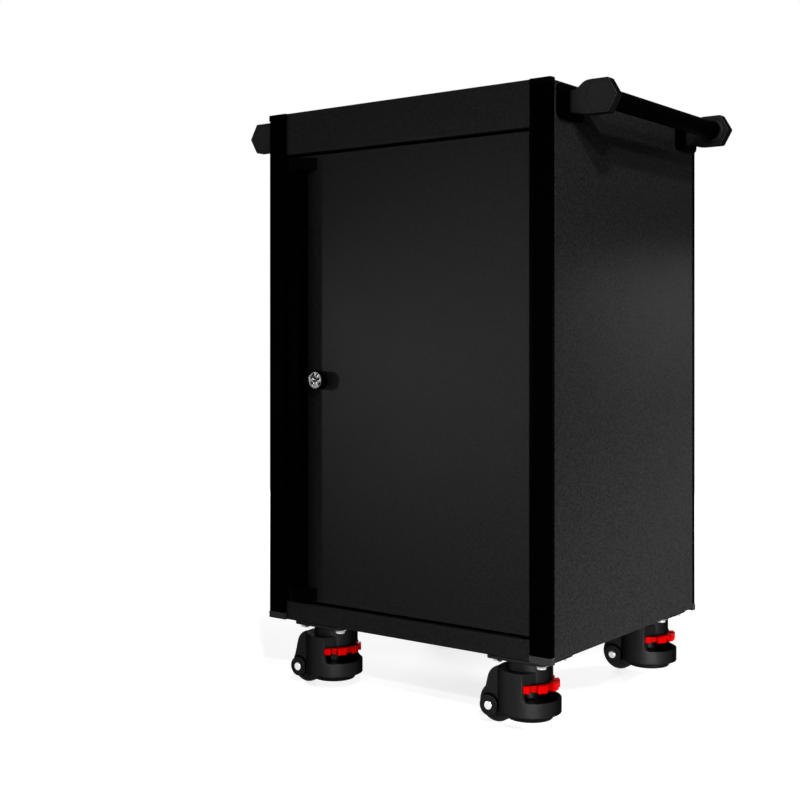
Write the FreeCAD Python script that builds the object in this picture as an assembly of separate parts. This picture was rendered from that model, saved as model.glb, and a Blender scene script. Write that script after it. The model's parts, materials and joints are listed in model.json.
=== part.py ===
import FreeCAD, Part
import math
import os

# Rolling locker: a steel cabinet with one full-height door, a push handle on each
# side and four levelling casters. Millimetres, +X to the right, -Y to the front,
# +Z up. The origin is on the floor, under the middle of the whole outline.

V = FreeCAD.Vector
Z_AXIS = V(0, 0, 1)
X_AXIS = V(1, 0, 0)
Y_AXIS = V(0, 1, 0)

# Cabinet
BODY_WIDTH = 622.0
BODY_DEPTH = 556.0
BODY_HEIGHT = 960.0
CASTER_HEIGHT = 124.0
SHEET = 1.5
BASE_SHEET = 3.0
FLUSH_GAP = 0.05

# Corner posts and their end caps
POST_WIDTH = 41.0
POST_DEPTH = 12.0
POST_EDGE_RADIUS = 3.5
CAP_HEIGHT = 12.0
CAP_PROUD = 1.0
CAP_CHAMFER = 2.5

# Post screws
SCREW_SIDE_OFFSET = 24.0
SCREW_FIRST_HEIGHT = 82.0
SCREW_PITCH = 199.0
SCREW_SHANK_RADIUS = 2.0
SCREW_HEAD_RADIUS = 4.5
SCREW_HEAD_DEPTH = 3.0
SCREW_REACH = 5.0
SCREW_SOCKET_RADIUS = 1.6
SCREW_SOCKET_DEPTH = 1.8
FIT = 0.05

# Header, rails and panels
FACE_SET_BACK = 4.0
HEADER_HEIGHT = 79.5
RAIL_HEIGHT = 36.0
REAR_RAIL_HEIGHT = 60.0
HEADER_FLANGE = 30.0
SIDE_END_GAP = 4.5
SIDE_FLANGE = 30.0
SIDE_TOP_FLANGE = 18.0
BASE_SIDE_INSET = 11.0
HEADER_STIFFENER = 12.0
RIB_INSET = 30.0
RIB_HALF_WIDTH = 12.0
RIB_PROUD = 4.0
RIB_CHAMFER = 3.5

# Shelves and their supports
STANDARD_WIDTH = 25.0
STANDARD_THICKNESS = 3.0
STANDARD_INSET = 78.0
STANDARD_END_GAP = 24.0
SLOT_PITCH = 30.0
SLOT_HEIGHT = 12.0
SLOT_WIDTH = 5.0
SHELF_HEIGHTS = (330.0, 625.0)
SHELF_SHEET = 1.2
SHELF_FLANGE = 25.0
SHELF_FRONT_SET_BACK = 52.0
SHELF_REAR_GAP = 6.0
SHELF_SIDE_GAP = 1.0
CLIP_REACH = 22.0
CLIP_HEIGHT = 18.0
CLIP_WIDTH = 20.0
CLIP_THICKNESS = 2.5
CLIP_HOOK = 2.0

# Door
DOOR_END_GAP = 5.0
DOOR_SIDE_GAP = 3.5
DOOR_SET_BACK = 3.0
DOOR_THICKNESS = 20.0
DOOR_SHEET = 1.2
LINER_SHEET = 2.0
LINER_LIP = 2.0
HAT_WIDTH = 30.0
HAT_END_GAP = 30.0
PIVOT_EDGE_OFFSET = 12.0
PIVOT_FACE_OFFSET = 8.0
PIN_RADIUS = 4.0
PIN_CLEARANCE = 0.05
PIN_COLLAR_RADIUS = 8.0
PIN_ENGAGEMENT = 12.0
BUSH_RADIUS = 6.0
BUSH_FLANGE_RADIUS = 9.0
BUSH_FLANGE = 2.0
BUSH_DEPTH = 14.0
THRUST_GAP = 0.3

# Full-height pull, near the free edge of the door
PULL_FLANGE_INSET = 26.5
PULL_FLANGE_WIDTH = 20.0
PULL_WALL = 2.5
PULL_PROUD = 23.0
PULL_BASE_LIP = 2.0
PULL_END_GAP = 5.0
PULL_CAP_HEIGHT = 22.0
PULL_CAP_RAMP = 24.0
PULL_RETURN = 6.0
PULL_CAP_PROUD = 1.0
PULL_EDGE_RADIUS = 1.5

# Lock
LOCK_EDGE_OFFSET = 79.5
LOCK_HEIGHT = 456.0
LOCK_RADIUS = 17.0
LOCK_FACE_RADIUS = 15.5
LOCK_PROUD = 17.5
LOCK_THREAD_RADIUS = 11.0
LOCK_SPINDLE_RADIUS = 7.0
LOCK_NUT_FLATS = 30.0
LOCK_NUT_THICKNESS = 5.0
LOCK_TAIL = 11.0
LOCK_FACE_THICKNESS = 4.0
LOCK_FACE_RECESS = 0.8
LOCK_RIM_RADIUS = 1.0
LOCK_FACE_EDGE = 0.8
LOCK_GROOVE_OUTER = 10.5
LOCK_GROOVE_INNER = 9.0
LOCK_GROOVE_DEPTH = 0.6
KEYWAY_WIDTH = 2.6
KEYWAY_HEIGHT = 11.0
KEYWAY_DEPTH = 3.0
CAM_LENGTH = 96.0
CAM_WIDTH = 20.0
CAM_THICKNESS = 3.0
CAM_CLEARANCE = 0.5
CAM_CORNER_RADIUS = 6.0
CAM_NUT_FLATS = 12.0
CAM_NUT_THICKNESS = 4.0
STRIKE_HEIGHT = 40.0
STRIKE_THICKNESS = 2.5
STRIKE_FOOT = 18.0
STRIKE_DOOR_GAP = 3.0
STRIKE_CAM_GAP = 2.0

# Push handles
HANDLE_OUT = 62.0
HANDLE_DROP = 31.5
HANDLE_END_INSET = 54.5
HANDLE_CENTRE_Y = 3.5
TUBE_RADIUS = 16.5
TUBE_WALL = 2.0
BRACKET_FLANGE_LENGTH = 83.0
BRACKET_FLANGE_HEIGHT = 57.0
BRACKET_FLANGE_THICKNESS = 13.0
BRACKET_FLANGE_TOP = 8.0
BRACKET_FLANGE_CORNER = 10.0
BRACKET_FLANGE_EDGE = 4.0
BRACKET_ARM_THICKNESS = 20.0
BRACKET_ARM_ROOT = 38.0
BRACKET_ARM_SWEEP = 0.55
HEX_FLATS = 57.0
HEX_PANEL_FLATS = 49.0
HEX_PANEL_DEPTH = 1.6
HEX_EDGE_RADIUS = 4.0
SOCKET_RADIUS = 22.0
SOCKET_PROUD = 6.0
SOCKET_DEPTH = 14.0
BRACKET_SCREW_SPACING = 60.0
BRACKET_SCREW_HEAD = 5.0
BRACKET_SCREW_SHANK = 3.0
BRACKET_SCREW_SOCKET = 2.6
BRACKET_SCREW_SOCKET_FLOOR = 2.0
BRACKET_SCREW_SINK = 6.0
BRACKET_SCREW_REACH = 6.0

# Casters: swivel axes, measured in from the cabinet's outside faces
CASTER_RIGHT_INSET = 73.0
CASTER_LEFT_INSET = 117.0
CASTER_END_INSET = 55.0
PLATE_WIDTH = 114.3
PLATE_DEPTH = 101.6
PLATE_THICKNESS = 5.5
PLATE_CORNER_RADIUS = 9.0
BOLT_HALF_X = 43.0
BOLT_HALF_Y = 34.0
BOLT_RADIUS = 5.0
BOLT_HOLE_CLEARANCE = 0.25
BOLT_HEAD_FLATS = 17.0
BOLT_HEAD_TURN = 30.0
BOLT_HEAD_HEIGHT = 6.5
WASHER_RADIUS = 11.0
WASHER_THICKNESS = 2.0
PAD_THICKNESS = 6.0
PAD_MARGIN = 12.0
BOLT_END = 1.0

# Caster housing
KING_PIN_RADIUS = 15.0
KING_PIN_LENGTH = 14.0
SWIVEL_GAP = 0.3
TURRET_RADIUS = 37.5
CUP_RADIUS = 53.5
CUP_BOTTOM = 28.0
CUP_FLOOR = 5.0
RING_TOP = 53.0
CUP_STEP = 2.0
SWING_CLEARANCE = 7.0
RING_WALL = 5.0
WINDOW_INNER_X = 26.9
WINDOW_INNER_Y = 26.2
WINDOW_OUTER_X = 8.0
WINDOW_OUTER_Y = 68.0
WINDOW_CORNER = 8.0
STEM_CLEAR_RADIUS = 10.0
SLEEVE_RADIUS = 13.0
CONE_RADIUS = 30.0
CONE_TOP = 52.0

# Caster wheel, cheeks and axle
TRAIL = 62.0
WHEEL_RADIUS = 33.5
WHEEL_WIDTH = 24.0
WHEEL_EDGE_RADIUS = 4.0
WHEEL_HUB_RADIUS = 12.0
WHEEL_DISH_RADIUS = 24.0
WHEEL_DISH_DEPTH = 3.0
WELL_HALF_WIDTH = 13.5
WELL_CLEARANCE = 2.5
CHEEK_HALF_WIDTH = 30.0
CHEEK_ROOT_X = 15.0
CHEEK_WAIST = (9.5, 8.0)
CHEEK_SHOULDER = (4.0, 20.0)
CHEEK_CROWN_MIDDLE = (3.0, 8.0)
CHEEK_CROWN = 17.0
CHEEK_LOW = (20.0, 3.5)
BOSS_RADIUS = 18.0
BOSS_PROUD = 4.5
BOSS_LOW_DEGREES = -69.5
BOSS_UNDER_DEGREES = -127.0
ROUND_EDGE = 1.2
AXLE_RADIUS = 5.0
AXLE_HEAD_RADIUS = 7.5
AXLE_HEAD_HEIGHT = 2.5

# Thumbwheel and levelling foot
THUMB_BOTTOM = 68.5
THUMB_HEIGHT = 12.5
THUMB_CLEARANCE = 0.5
THUMB_RADIUS = 50.8
THUMB_TEETH = 10
THUMB_TOOTH_DEGREES = 20.5
THUMB_TOOTH_DEPTH = 8.0
THUMB_DISC_INSET = 1.0
THUMB_FIRST_TOOTH_DEGREES = 3.0
FOOT_PAD_RADIUS = 40.5
FOOT_PAD_BOTTOM = 17.5
FOOT_PAD_HEIGHT = 9.0
FOOT_PAD_EDGE = 2.5
FOOT_STEM_RADIUS = 9.0
STEM_HEAD_ROOM = 4.5
FOOT_STEM_FLAT = 7.5
FOOT_NOTCH_CLEARANCE = 2.5

# Places that follow from the sizes above
HALF_WIDTH = BODY_WIDTH / 2
HALF_DEPTH = BODY_DEPTH / 2
BODY_BOTTOM = CASTER_HEIGHT
BODY_TOP = CASTER_HEIGHT + BODY_HEIGHT
INNER_X = HALF_WIDTH - POST_WIDTH
POST_INNER_Y = HALF_DEPTH - POST_DEPTH
FACE_Y = -HALF_DEPTH + FACE_SET_BACK
DOOR_FACE_Y = FACE_Y + DOOR_SET_BACK
DOOR_BACK_Y = DOOR_FACE_Y + DOOR_THICKNESS
FRONT_Y = DOOR_FACE_Y - PULL_PROUD - PULL_CAP_PROUD
SHIFT_Y = -(FRONT_Y + HALF_DEPTH + CAP_PROUD) / 2
HEADER_BOTTOM = BODY_TOP - HEADER_HEIGHT
RAIL_TOP = BODY_BOTTOM + RAIL_HEIGHT
DOOR_BOTTOM = RAIL_TOP + DOOR_END_GAP
DOOR_TOP = HEADER_BOTTOM - DOOR_END_GAP
DOOR_HALF = INNER_X - DOOR_SIDE_GAP
PIVOT_X = DOOR_HALF - PIVOT_EDGE_OFFSET
PIVOT_Y = DOOR_FACE_Y + PIVOT_FACE_OFFSET
PANEL_INNER_X = HALF_WIDTH - SHEET
PANEL_INNER_Y = POST_INNER_Y - SHEET
SIDE_TOP = BODY_TOP - SIDE_END_GAP
SIDE_BOTTOM = BODY_BOTTOM + SIDE_END_GAP
BASE_HALF = HALF_WIDTH - BASE_SIDE_INSET
LOCK_X = -DOOR_HALF + LOCK_EDGE_OFFSET
LOCK_Z = BODY_BOTTOM + LOCK_HEIGHT
CAM_FRONT_Y = DOOR_BACK_Y + LOCK_TAIL + CAM_CLEARANCE
PULL_RIGHT_X = -DOOR_HALF + PULL_FLANGE_INSET + PULL_FLANGE_WIDTH
HANDLE_Z = BODY_TOP - HANDLE_DROP
HANDLE_SPACING = BODY_DEPTH - 2 * HANDLE_END_INSET
STANDARD_Y = HALF_DEPTH - STANDARD_INSET
CASTER_RIGHT_X = HALF_WIDTH - CASTER_RIGHT_INSET
CASTER_LEFT_X = CASTER_LEFT_INSET - HALF_WIDTH
CASTER_Y = HALF_DEPTH - CASTER_END_INSET
PLATE_BOTTOM = CASTER_HEIGHT - PLATE_THICKNESS
CHEEK_TOP = PLATE_BOTTOM - WASHER_THICKNESS - BOLT_HEAD_HEIGHT - SWING_CLEARANCE
CUP_TOP = CHEEK_TOP - CUP_STEP
FOOT_STEM_TOP = PLATE_BOTTOM - KING_PIN_LENGTH - STEM_HEAD_ROOM
TURRET_TOP = PLATE_BOTTOM - SWIVEL_GAP
THUMB_TOP = THUMB_BOTTOM + THUMB_HEIGHT


def box(x0, x1, y0, y1, z0, z1):
    """A box between two corners, in cabinet coordinates."""
    return Part.makeBox(x1 - x0, y1 - y0, z1 - z0, V(x0, y0, z0))


def cylinder(radius, z0, z1, x=0.0, y=0.0):
    """An upright cylinder."""
    return Part.makeCylinder(radius, z1 - z0, V(x, y, z0), Z_AXIS)


def rod_x(radius, x0, x1, y, z):
    """A cylinder along X."""
    return Part.makeCylinder(radius, x1 - x0, V(x0, y, z), X_AXIS)


def rod_y(radius, y0, y1, x, z):
    """A cylinder along Y."""
    return Part.makeCylinder(radius, y1 - y0, V(x, y0, z), Y_AXIS)


def fused(shapes):
    """One solid from shapes that touch or overlap."""
    result = shapes[0]
    if len(shapes) > 1:
        result = shapes[0].fuse(list(shapes[1:])).removeSplitter()
    return result


def group(solids):
    """Separate solids that share one node."""
    return Part.makeCompound(solids)


def prism(points, z0, z1):
    """An upright prism on a polygon given as (x, y) pairs."""
    corners = [V(x, y, z0) for x, y in points]
    face = Part.Face(Part.makePolygon(corners + corners[:1]))
    return face.extrude(V(0, 0, z1 - z0))


def hexagon_prism(flats, axis, start, length, turn=0.0):
    """A hexagonal prism along an axis, with a corner at the turn angle."""
    radius = flats / math.sqrt(3)
    if axis == Z_AXIS:
        first, second = X_AXIS, Y_AXIS
    else:
        first, second = X_AXIS, Z_AXIS
    corners = []
    for k in range(6):
        angle = math.radians(turn + 60 * k)
        corners.append(start + first * (radius * math.cos(angle)) + second * (radius * math.sin(angle)))
    face = Part.Face(Part.makePolygon(corners + corners[:1]))
    return face.extrude(axis * length)


def edges_along(shape, axis, test):
    """The straight edges of a shape that run along an axis and pass a test on their middle."""
    found = []
    for edge in shape.Edges:
        if not isinstance(edge.Curve, Part.Line):
            continue
        if abs(abs(edge.Curve.Direction.dot(axis)) - 1) > 1e-6:
            continue
        if test(edge.CenterOfMass):
            found.append(edge)
    return found


def mirrored_x(shape):
    """The same piece on the other side of the cabinet."""
    return shape.mirror(V(0, 0, 0), X_AXIS)


def mirrored_y(shape):
    """The same piece at the other end of the cabinet."""
    return shape.mirror(V(0, 0, 0), Y_AXIS)


def screw_heights():
    """Heights of the screws up each post."""
    count = int((BODY_HEIGHT - 2 * SCREW_FIRST_HEIGHT) / SCREW_PITCH) + 1
    return [BODY_BOTTOM + SCREW_FIRST_HEIGHT + SCREW_PITCH * k for k in range(count)]


# Corner posts, caps and screws, built for the right front corner and mirrored

def corners_of(shape):
    """The four corner copies of a right front piece: right front, left front, right rear, left rear."""
    left = mirrored_x(shape)
    return [shape, left, mirrored_y(shape), mirrored_y(left)]


def post_blank(z0, z1, grow):
    """The outline of a post, or of its cap, which stands proud on the outer faces."""
    block = box(INNER_X, HALF_WIDTH + grow, -HALF_DEPTH - grow, -POST_INNER_Y, z0, z1)
    outer = edges_along(block, Z_AXIS, lambda p: p.y < -HALF_DEPTH - grow + FIT)
    return block.makeFillet(POST_EDGE_RADIUS, outer)


def make_post():
    """A corner post with its counterbored screw holes."""
    post = post_blank(BODY_BOTTOM + CAP_HEIGHT, BODY_TOP - CAP_HEIGHT, 0)
    x = HALF_WIDTH - SCREW_SIDE_OFFSET
    cuts = []
    for z in screw_heights():
        cuts.append(rod_y(SCREW_SHANK_RADIUS + FIT, -HALF_DEPTH - 1, -POST_INNER_Y + 1, x, z))
        cuts.append(rod_y(SCREW_HEAD_RADIUS + FIT, -HALF_DEPTH - 1, -HALF_DEPTH + SCREW_HEAD_DEPTH, x, z))
    return post.cut(cuts)


def make_top_cap():
    """The top end cap of a post, chamfered round its top."""
    block = post_blank(BODY_TOP - CAP_HEIGHT, BODY_TOP, CAP_PROUD)
    top = [e for e in block.Edges if abs(e.CenterOfMass.z - BODY_TOP) < 1e-6]
    outer = [e for e in top if e.CenterOfMass.y < -POST_INNER_Y and e.CenterOfMass.x > INNER_X + 1e-3]
    return block.makeChamfer(CAP_PROUD, outer)


def make_bottom_cap():
    """The bottom end cap of a post, with a bevelled outer corner."""
    block = box(INNER_X, HALF_WIDTH + CAP_PROUD, -HALF_DEPTH - CAP_PROUD, -POST_INNER_Y,
                BODY_BOTTOM, BODY_BOTTOM + CAP_HEIGHT)
    outer = edges_along(block, Z_AXIS, lambda p: p.y < -HALF_DEPTH and p.x > HALF_WIDTH)
    return block.makeChamfer(CAP_CHAMFER, outer)


def make_post_screw(z):
    """One screw of the right front post: head sunk in the post, shank through the panel behind."""
    x = HALF_WIDTH - SCREW_SIDE_OFFSET
    head = rod_y(SCREW_HEAD_RADIUS, -HALF_DEPTH + FIT, -HALF_DEPTH + SCREW_HEAD_DEPTH, x, z)
    shank = rod_y(SCREW_SHANK_RADIUS, -HALF_DEPTH + FIT, -POST_INNER_Y + SCREW_REACH, x, z)
    socket = rod_y(SCREW_SOCKET_RADIUS, -HALF_DEPTH, -HALF_DEPTH + SCREW_SOCKET_DEPTH, x, z)
    return fused([head, shank]).cut(socket)


# Cabinet sheets

def make_side_panel():
    """The right side panel: a sheet with folded edges on all four sides."""
    z0, z1 = SIDE_BOTTOM, SIDE_TOP
    sheet = box(PANEL_INNER_X, HALF_WIDTH, -POST_INNER_Y, POST_INNER_Y, z0, z1)
    front = box(HALF_WIDTH - SIDE_FLANGE, HALF_WIDTH, -POST_INNER_Y, -PANEL_INNER_Y, z0, z1)
    rear = mirrored_y(front)
    top = box(HALF_WIDTH - SIDE_TOP_FLANGE, HALF_WIDTH, -POST_INNER_Y, POST_INNER_Y,
              z1 - 2 * SHEET, z1 - SHEET)
    bottom = box(BASE_HALF, HALF_WIDTH, -POST_INNER_Y, POST_INNER_Y, z0, z0 + SHEET)
    panel = fused([sheet, front, rear, top, bottom])
    x = HALF_WIDTH - SCREW_SIDE_OFFSET
    holes = []
    for z in screw_heights():
        holes.append(rod_y(SCREW_SHANK_RADIUS + FIT, -HALF_DEPTH, HALF_DEPTH, x, z))
    flange_zone = box(HALF_WIDTH - SIDE_FLANGE, PANEL_INNER_X - SHEET, -HALF_DEPTH, HALF_DEPTH, z0, z1)
    holes = [hole.common(flange_zone) for hole in holes]
    for reach in (-1, 1):
        for screw_y, screw_z in bracket_screw_places(reach):
            hole = rod_x(BRACKET_SCREW_SHANK + FIT, PANEL_INNER_X - 1, HALF_WIDTH + 1, screw_y, screw_z)
            holes.append(hole)
    return panel.cut(holes)


def make_back_panel():
    """The back panel, held against the rear posts, with two pressed stiffening ribs."""
    half = HALF_WIDTH - SIDE_FLANGE - FLUSH_GAP
    sheet = box(-half, half, PANEL_INNER_Y, POST_INNER_Y, BODY_BOTTOM, SIDE_TOP)
    ribs = []
    for share in (1 / 3, 2 / 3):
        z = BODY_BOTTOM + BODY_HEIGHT * share
        reach = INNER_X - RIB_INSET
        outer = box(-reach, reach, POST_INNER_Y - FIT, POST_INNER_Y + RIB_PROUD,
                    z - RIB_HALF_WIDTH, z + RIB_HALF_WIDTH)
        long_edges = edges_along(outer, X_AXIS, lambda p: p.y > POST_INNER_Y + RIB_PROUD / 2)
        ribs.append(outer.makeChamfer(RIB_CHAMFER, long_edges))
    return fused([sheet] + ribs)


def make_top_panel():
    """The flat top panel, lying on the side panels' top folds."""
    half_y = PANEL_INNER_Y
    z1 = SIDE_TOP
    sheet = box(-PANEL_INNER_X, PANEL_INNER_X, -half_y, half_y, z1 - SHEET, z1)
    inner_x = HALF_WIDTH - SIDE_TOP_FLANGE - FLUSH_GAP
    front = box(-inner_x, inner_x, -half_y, -half_y + SHEET, z1 - SIDE_TOP_FLANGE, z1)
    rear = mirrored_y(front)
    return fused([sheet, front, rear])


def make_base_pan():
    """The tray that carries the casters, with threaded pads welded in for their bolts."""
    z0 = BODY_BOTTOM
    z1 = RAIL_TOP - SHEET
    half_y = PANEL_INNER_Y
    outer = box(-BASE_HALF, BASE_HALF, -half_y, half_y, z0, z1)
    inner = box(-BASE_HALF + SHEET, BASE_HALF - SHEET, -half_y + SHEET, half_y - SHEET,
                z0 + BASE_SHEET, z1 + 1)
    tray = outer.cut(inner)
    pads, holes = [], []
    pad_top = z0 + BASE_SHEET + PAD_THICKNESS
    reach_x = BOLT_HALF_X + PAD_MARGIN
    for cx, cy in caster_places():
        y_ends = sorted((math.copysign(half_y - SHEET, cy), cy - math.copysign(BOLT_HALF_Y + PAD_MARGIN, cy)))
        pads.append(box(cx - reach_x, cx + reach_x, y_ends[0], y_ends[1], z0 + BASE_SHEET, pad_top))
        for bx, by in bolt_places():
            holes.append(cylinder(BOLT_RADIUS + FIT, z0 - 1, pad_top + 1, cx + bx, cy + by))
    return fused([tray] + pads).cut(holes)


def make_floor_panel():
    """The floor of the locker, lying on the walls of the base pan."""
    front = -PANEL_INNER_Y + SHEET + FLUSH_GAP
    return box(-PANEL_INNER_X, PANEL_INNER_X, front, PANEL_INNER_Y, RAIL_TOP - SHEET, RAIL_TOP)


def make_header():
    """The panel over the door, with a top lip that turns down in front of the top panel's fold."""
    z0, z1 = HEADER_BOTTOM, BODY_TOP
    rear = -PANEL_INNER_Y
    face = box(-INNER_X, INNER_X, FACE_Y, FACE_Y + SHEET, z0, z1)
    lip = box(-INNER_X, INNER_X, FACE_Y, rear, z1 - SHEET, z1)
    turn_down = box(-INNER_X, INNER_X, rear - SHEET, rear, SIDE_TOP - SIDE_TOP_FLANGE, z1)
    flange_rear = FACE_Y + HEADER_FLANGE
    flange = box(-INNER_X, INNER_X, FACE_Y, flange_rear, z0, z0 + SHEET)
    stiffener = box(-INNER_X, INNER_X, flange_rear - SHEET, flange_rear, z0, z0 + HEADER_STIFFENER)
    return fused([face, lip, turn_down, flange, stiffener])


def make_bottom_rail():
    """The rail under the door, folded back top and bottom on to the base pan."""
    z0, z1 = BODY_BOTTOM, RAIL_TOP
    wall = -PANEL_INNER_Y
    face = box(-INNER_X, INNER_X, FACE_Y, FACE_Y + SHEET, z0, z1)
    top = box(-INNER_X, INNER_X, FACE_Y, wall + SHEET, z1 - SHEET, z1)
    bottom = box(-INNER_X, INNER_X, FACE_Y, wall, z0, z0 + SHEET)
    return fused([face, top, bottom])


def make_rear_rails():
    """Channels between the rear posts, at the top and at the bottom."""
    rails = []
    for z0, z1 in ((BODY_TOP - REAR_RAIL_HEIGHT, BODY_TOP), (BODY_BOTTOM, BODY_BOTTOM + REAR_RAIL_HEIGHT)):
        face = box(-INNER_X, INNER_X, -FACE_Y - SHEET, -FACE_Y, z0, z1)
        top = box(-INNER_X, INNER_X, POST_INNER_Y, -FACE_Y, z1 - SHEET, z1)
        bottom = box(-INNER_X, INNER_X, POST_INNER_Y, -FACE_Y, z0, z0 + SHEET)
        rails.append(fused([face, top, bottom]))
    return group(rails)


# Shelves

def standard_span():
    """The bottom and top of the shelf standards."""
    return RAIL_TOP + STANDARD_END_GAP, HEADER_BOTTOM - STANDARD_END_GAP


def make_standard():
    """The right front slotted shelf standard."""
    z0, z1 = standard_span()
    strip = box(PANEL_INNER_X - STANDARD_THICKNESS, PANEL_INNER_X, -STANDARD_Y - STANDARD_WIDTH / 2,
                -STANDARD_Y + STANDARD_WIDTH / 2, z0, z1)
    count = int((z1 - z0 - SLOT_PITCH) / SLOT_PITCH)
    slots = []
    for k in range(count):
        z = z0 + SLOT_PITCH * (k + 1)
        slots.append(box(PANEL_INNER_X - STANDARD_THICKNESS - 1, PANEL_INNER_X + 1,
                         -STANDARD_Y - SLOT_WIDTH / 2, -STANDARD_Y + SLOT_WIDTH / 2,
                         z - SLOT_HEIGHT / 2, z + SLOT_HEIGHT / 2))
    return strip.cut(slots)


def shelf_seat(height):
    """The height of a shelf's underside: the top of a clip that hooks into the nearest slot."""
    z0, _ = standard_span()
    step = round((BODY_BOTTOM + height - z0) / SLOT_PITCH)
    return z0 + SLOT_PITCH * step + SLOT_HEIGHT / 2


def make_clip(seat):
    """A right front shelf clip: hook, back plate and the ledge that the shelf lies on."""
    face = PANEL_INNER_X - STANDARD_THICKNESS
    half = CLIP_WIDTH / 2
    back = box(face - CLIP_THICKNESS, face, -STANDARD_Y - half, -STANDARD_Y + half, seat - CLIP_HEIGHT, seat)
    ledge = box(face - CLIP_REACH, face, -STANDARD_Y - half, -STANDARD_Y + half, seat - CLIP_THICKNESS, seat)
    hook = box(face - CLIP_THICKNESS, face + CLIP_HOOK, -STANDARD_Y - SLOT_WIDTH / 2 + FIT,
               -STANDARD_Y + SLOT_WIDTH / 2 - FIT, seat - SLOT_HEIGHT + FIT, seat - FIT)
    return fused([back, ledge, hook])


def make_shelf(seat):
    """A shelf: a sheet with its front and rear edges turned down, lying on its clips."""
    half = PANEL_INNER_X - STANDARD_THICKNESS - SHELF_SIDE_GAP
    front = DOOR_FACE_Y + SHELF_FRONT_SET_BACK
    rear = PANEL_INNER_Y - SHELF_REAR_GAP
    sheet = box(-half, half, front, rear, seat, seat + SHELF_SHEET)
    top = seat + SHELF_SHEET
    lip = box(-half, half, front, front + SHELF_SHEET, top - SHELF_FLANGE, top)
    back_lip = box(-half, half, rear - SHELF_SHEET, rear, top - SHELF_FLANGE, top)
    return fused([sheet, lip, back_lip])


# Door and its pivots

def make_door_skin():
    """The outer door pan, open to the back, drilled for the bushes and the lock."""
    outer = box(-DOOR_HALF, DOOR_HALF, DOOR_FACE_Y, DOOR_BACK_Y - LINER_SHEET, DOOR_BOTTOM, DOOR_TOP)
    outer = outer.makeFillet(DOOR_SHEET, edges_along(outer, Z_AXIS, lambda p: p.y < DOOR_FACE_Y + FIT))
    t = DOOR_SHEET
    inner = box(-DOOR_HALF + t, DOOR_HALF - t, DOOR_FACE_Y + t, DOOR_BACK_Y, DOOR_BOTTOM + t, DOOR_TOP - t)
    bush = cylinder(BUSH_RADIUS + FIT, DOOR_BOTTOM - 1, DOOR_TOP + 1, PIVOT_X, PIVOT_Y)
    lock = rod_y(LOCK_THREAD_RADIUS + FIT, DOOR_FACE_Y - 1, DOOR_BACK_Y, LOCK_X, LOCK_Z)
    return outer.cut([inner, bush, lock])


def make_door_liner():
    """The back sheet of the door; it stands a little past the skin at the top and bottom."""
    front = DOOR_BACK_Y - LINER_SHEET
    sheet = box(-DOOR_HALF, DOOR_HALF, front, DOOR_BACK_Y, DOOR_BOTTOM - LINER_LIP, DOOR_TOP + LINER_LIP)
    stiffeners = []
    for x in (-DOOR_HALF / 3, DOOR_HALF / 3):
        hat = box(x - HAT_WIDTH / 2, x + HAT_WIDTH / 2, DOOR_FACE_Y + DOOR_SHEET, front,
                  DOOR_BOTTOM + HAT_END_GAP, DOOR_TOP - HAT_END_GAP)
        hollow = box(x - HAT_WIDTH / 2 + SHEET, x + HAT_WIDTH / 2 - SHEET,
                     DOOR_FACE_Y + DOOR_SHEET + SHEET, front, DOOR_BOTTOM, DOOR_TOP)
        stiffeners.append(hat.cut(hollow))
    lock = rod_y(LOCK_THREAD_RADIUS + FIT, DOOR_FACE_Y, DOOR_BACK_Y + 1, LOCK_X, LOCK_Z)
    return fused([sheet] + stiffeners).cut(lock)


def make_bush(end, inward):
    """A flanged bush in the door's end, with the pin's bore."""
    flange = Part.makeCylinder(BUSH_FLANGE_RADIUS, BUSH_FLANGE, V(PIVOT_X, PIVOT_Y, end), Z_AXIS * -inward)
    body = Part.makeCylinder(BUSH_RADIUS, BUSH_DEPTH, V(PIVOT_X, PIVOT_Y, end), Z_AXIS * inward)
    bore = Part.makeCylinder(PIN_RADIUS + PIN_CLEARANCE, BUSH_DEPTH + 2 * BUSH_FLANGE,
                             V(PIVOT_X, PIVOT_Y, end - inward * 2 * BUSH_FLANGE), Z_AXIS * inward)
    return fused([flange, body]).cut(bore)


def make_pivot(seat, door_end, inward):
    """A fixed pivot: a plate on the frame's flange, a collar across the gap and the pin."""
    collar_end = door_end - inward * (BUSH_FLANGE + THRUST_GAP)
    foot = V(PIVOT_X, PIVOT_Y, seat)
    collar = Part.makeCylinder(PIN_COLLAR_RADIUS, abs(collar_end - seat), foot, Z_AXIS * inward)
    pin = Part.makeCylinder(PIN_RADIUS, abs(door_end - seat) + PIN_ENGAGEMENT, foot, Z_AXIS * inward)
    return fused([collar, pin])


# Pull

def make_pull():
    """The full-height pull: base strip, web and front flange with a finger return."""
    z0 = DOOR_BOTTOM + PULL_END_GAP / 2 + PULL_CAP_HEIGHT
    z1 = DOOR_TOP - PULL_END_GAP - PULL_CAP_HEIGHT
    base_left = -DOOR_HALF
    front = DOOR_FACE_Y - PULL_PROUD
    left = PULL_RIGHT_X - PULL_FLANGE_WIDTH
    w = PULL_WALL
    base = box(base_left, PULL_RIGHT_X + PULL_BASE_LIP, DOOR_FACE_Y - w, DOOR_FACE_Y, z0, z1)
    web = box(PULL_RIGHT_X - w, PULL_RIGHT_X, front, DOOR_FACE_Y, z0, z1)
    flange = box(left, PULL_RIGHT_X, front, front + w, z0, z1)
    lip = box(left, left + w, front, front + PULL_RETURN, z0, z1)
    pull = fused([base, web, flange, lip])
    edges = edges_along(pull, Z_AXIS, lambda p: p.y < front + FIT)
    return pull.makeFillet(PULL_EDGE_RADIUS, edges)


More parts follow.
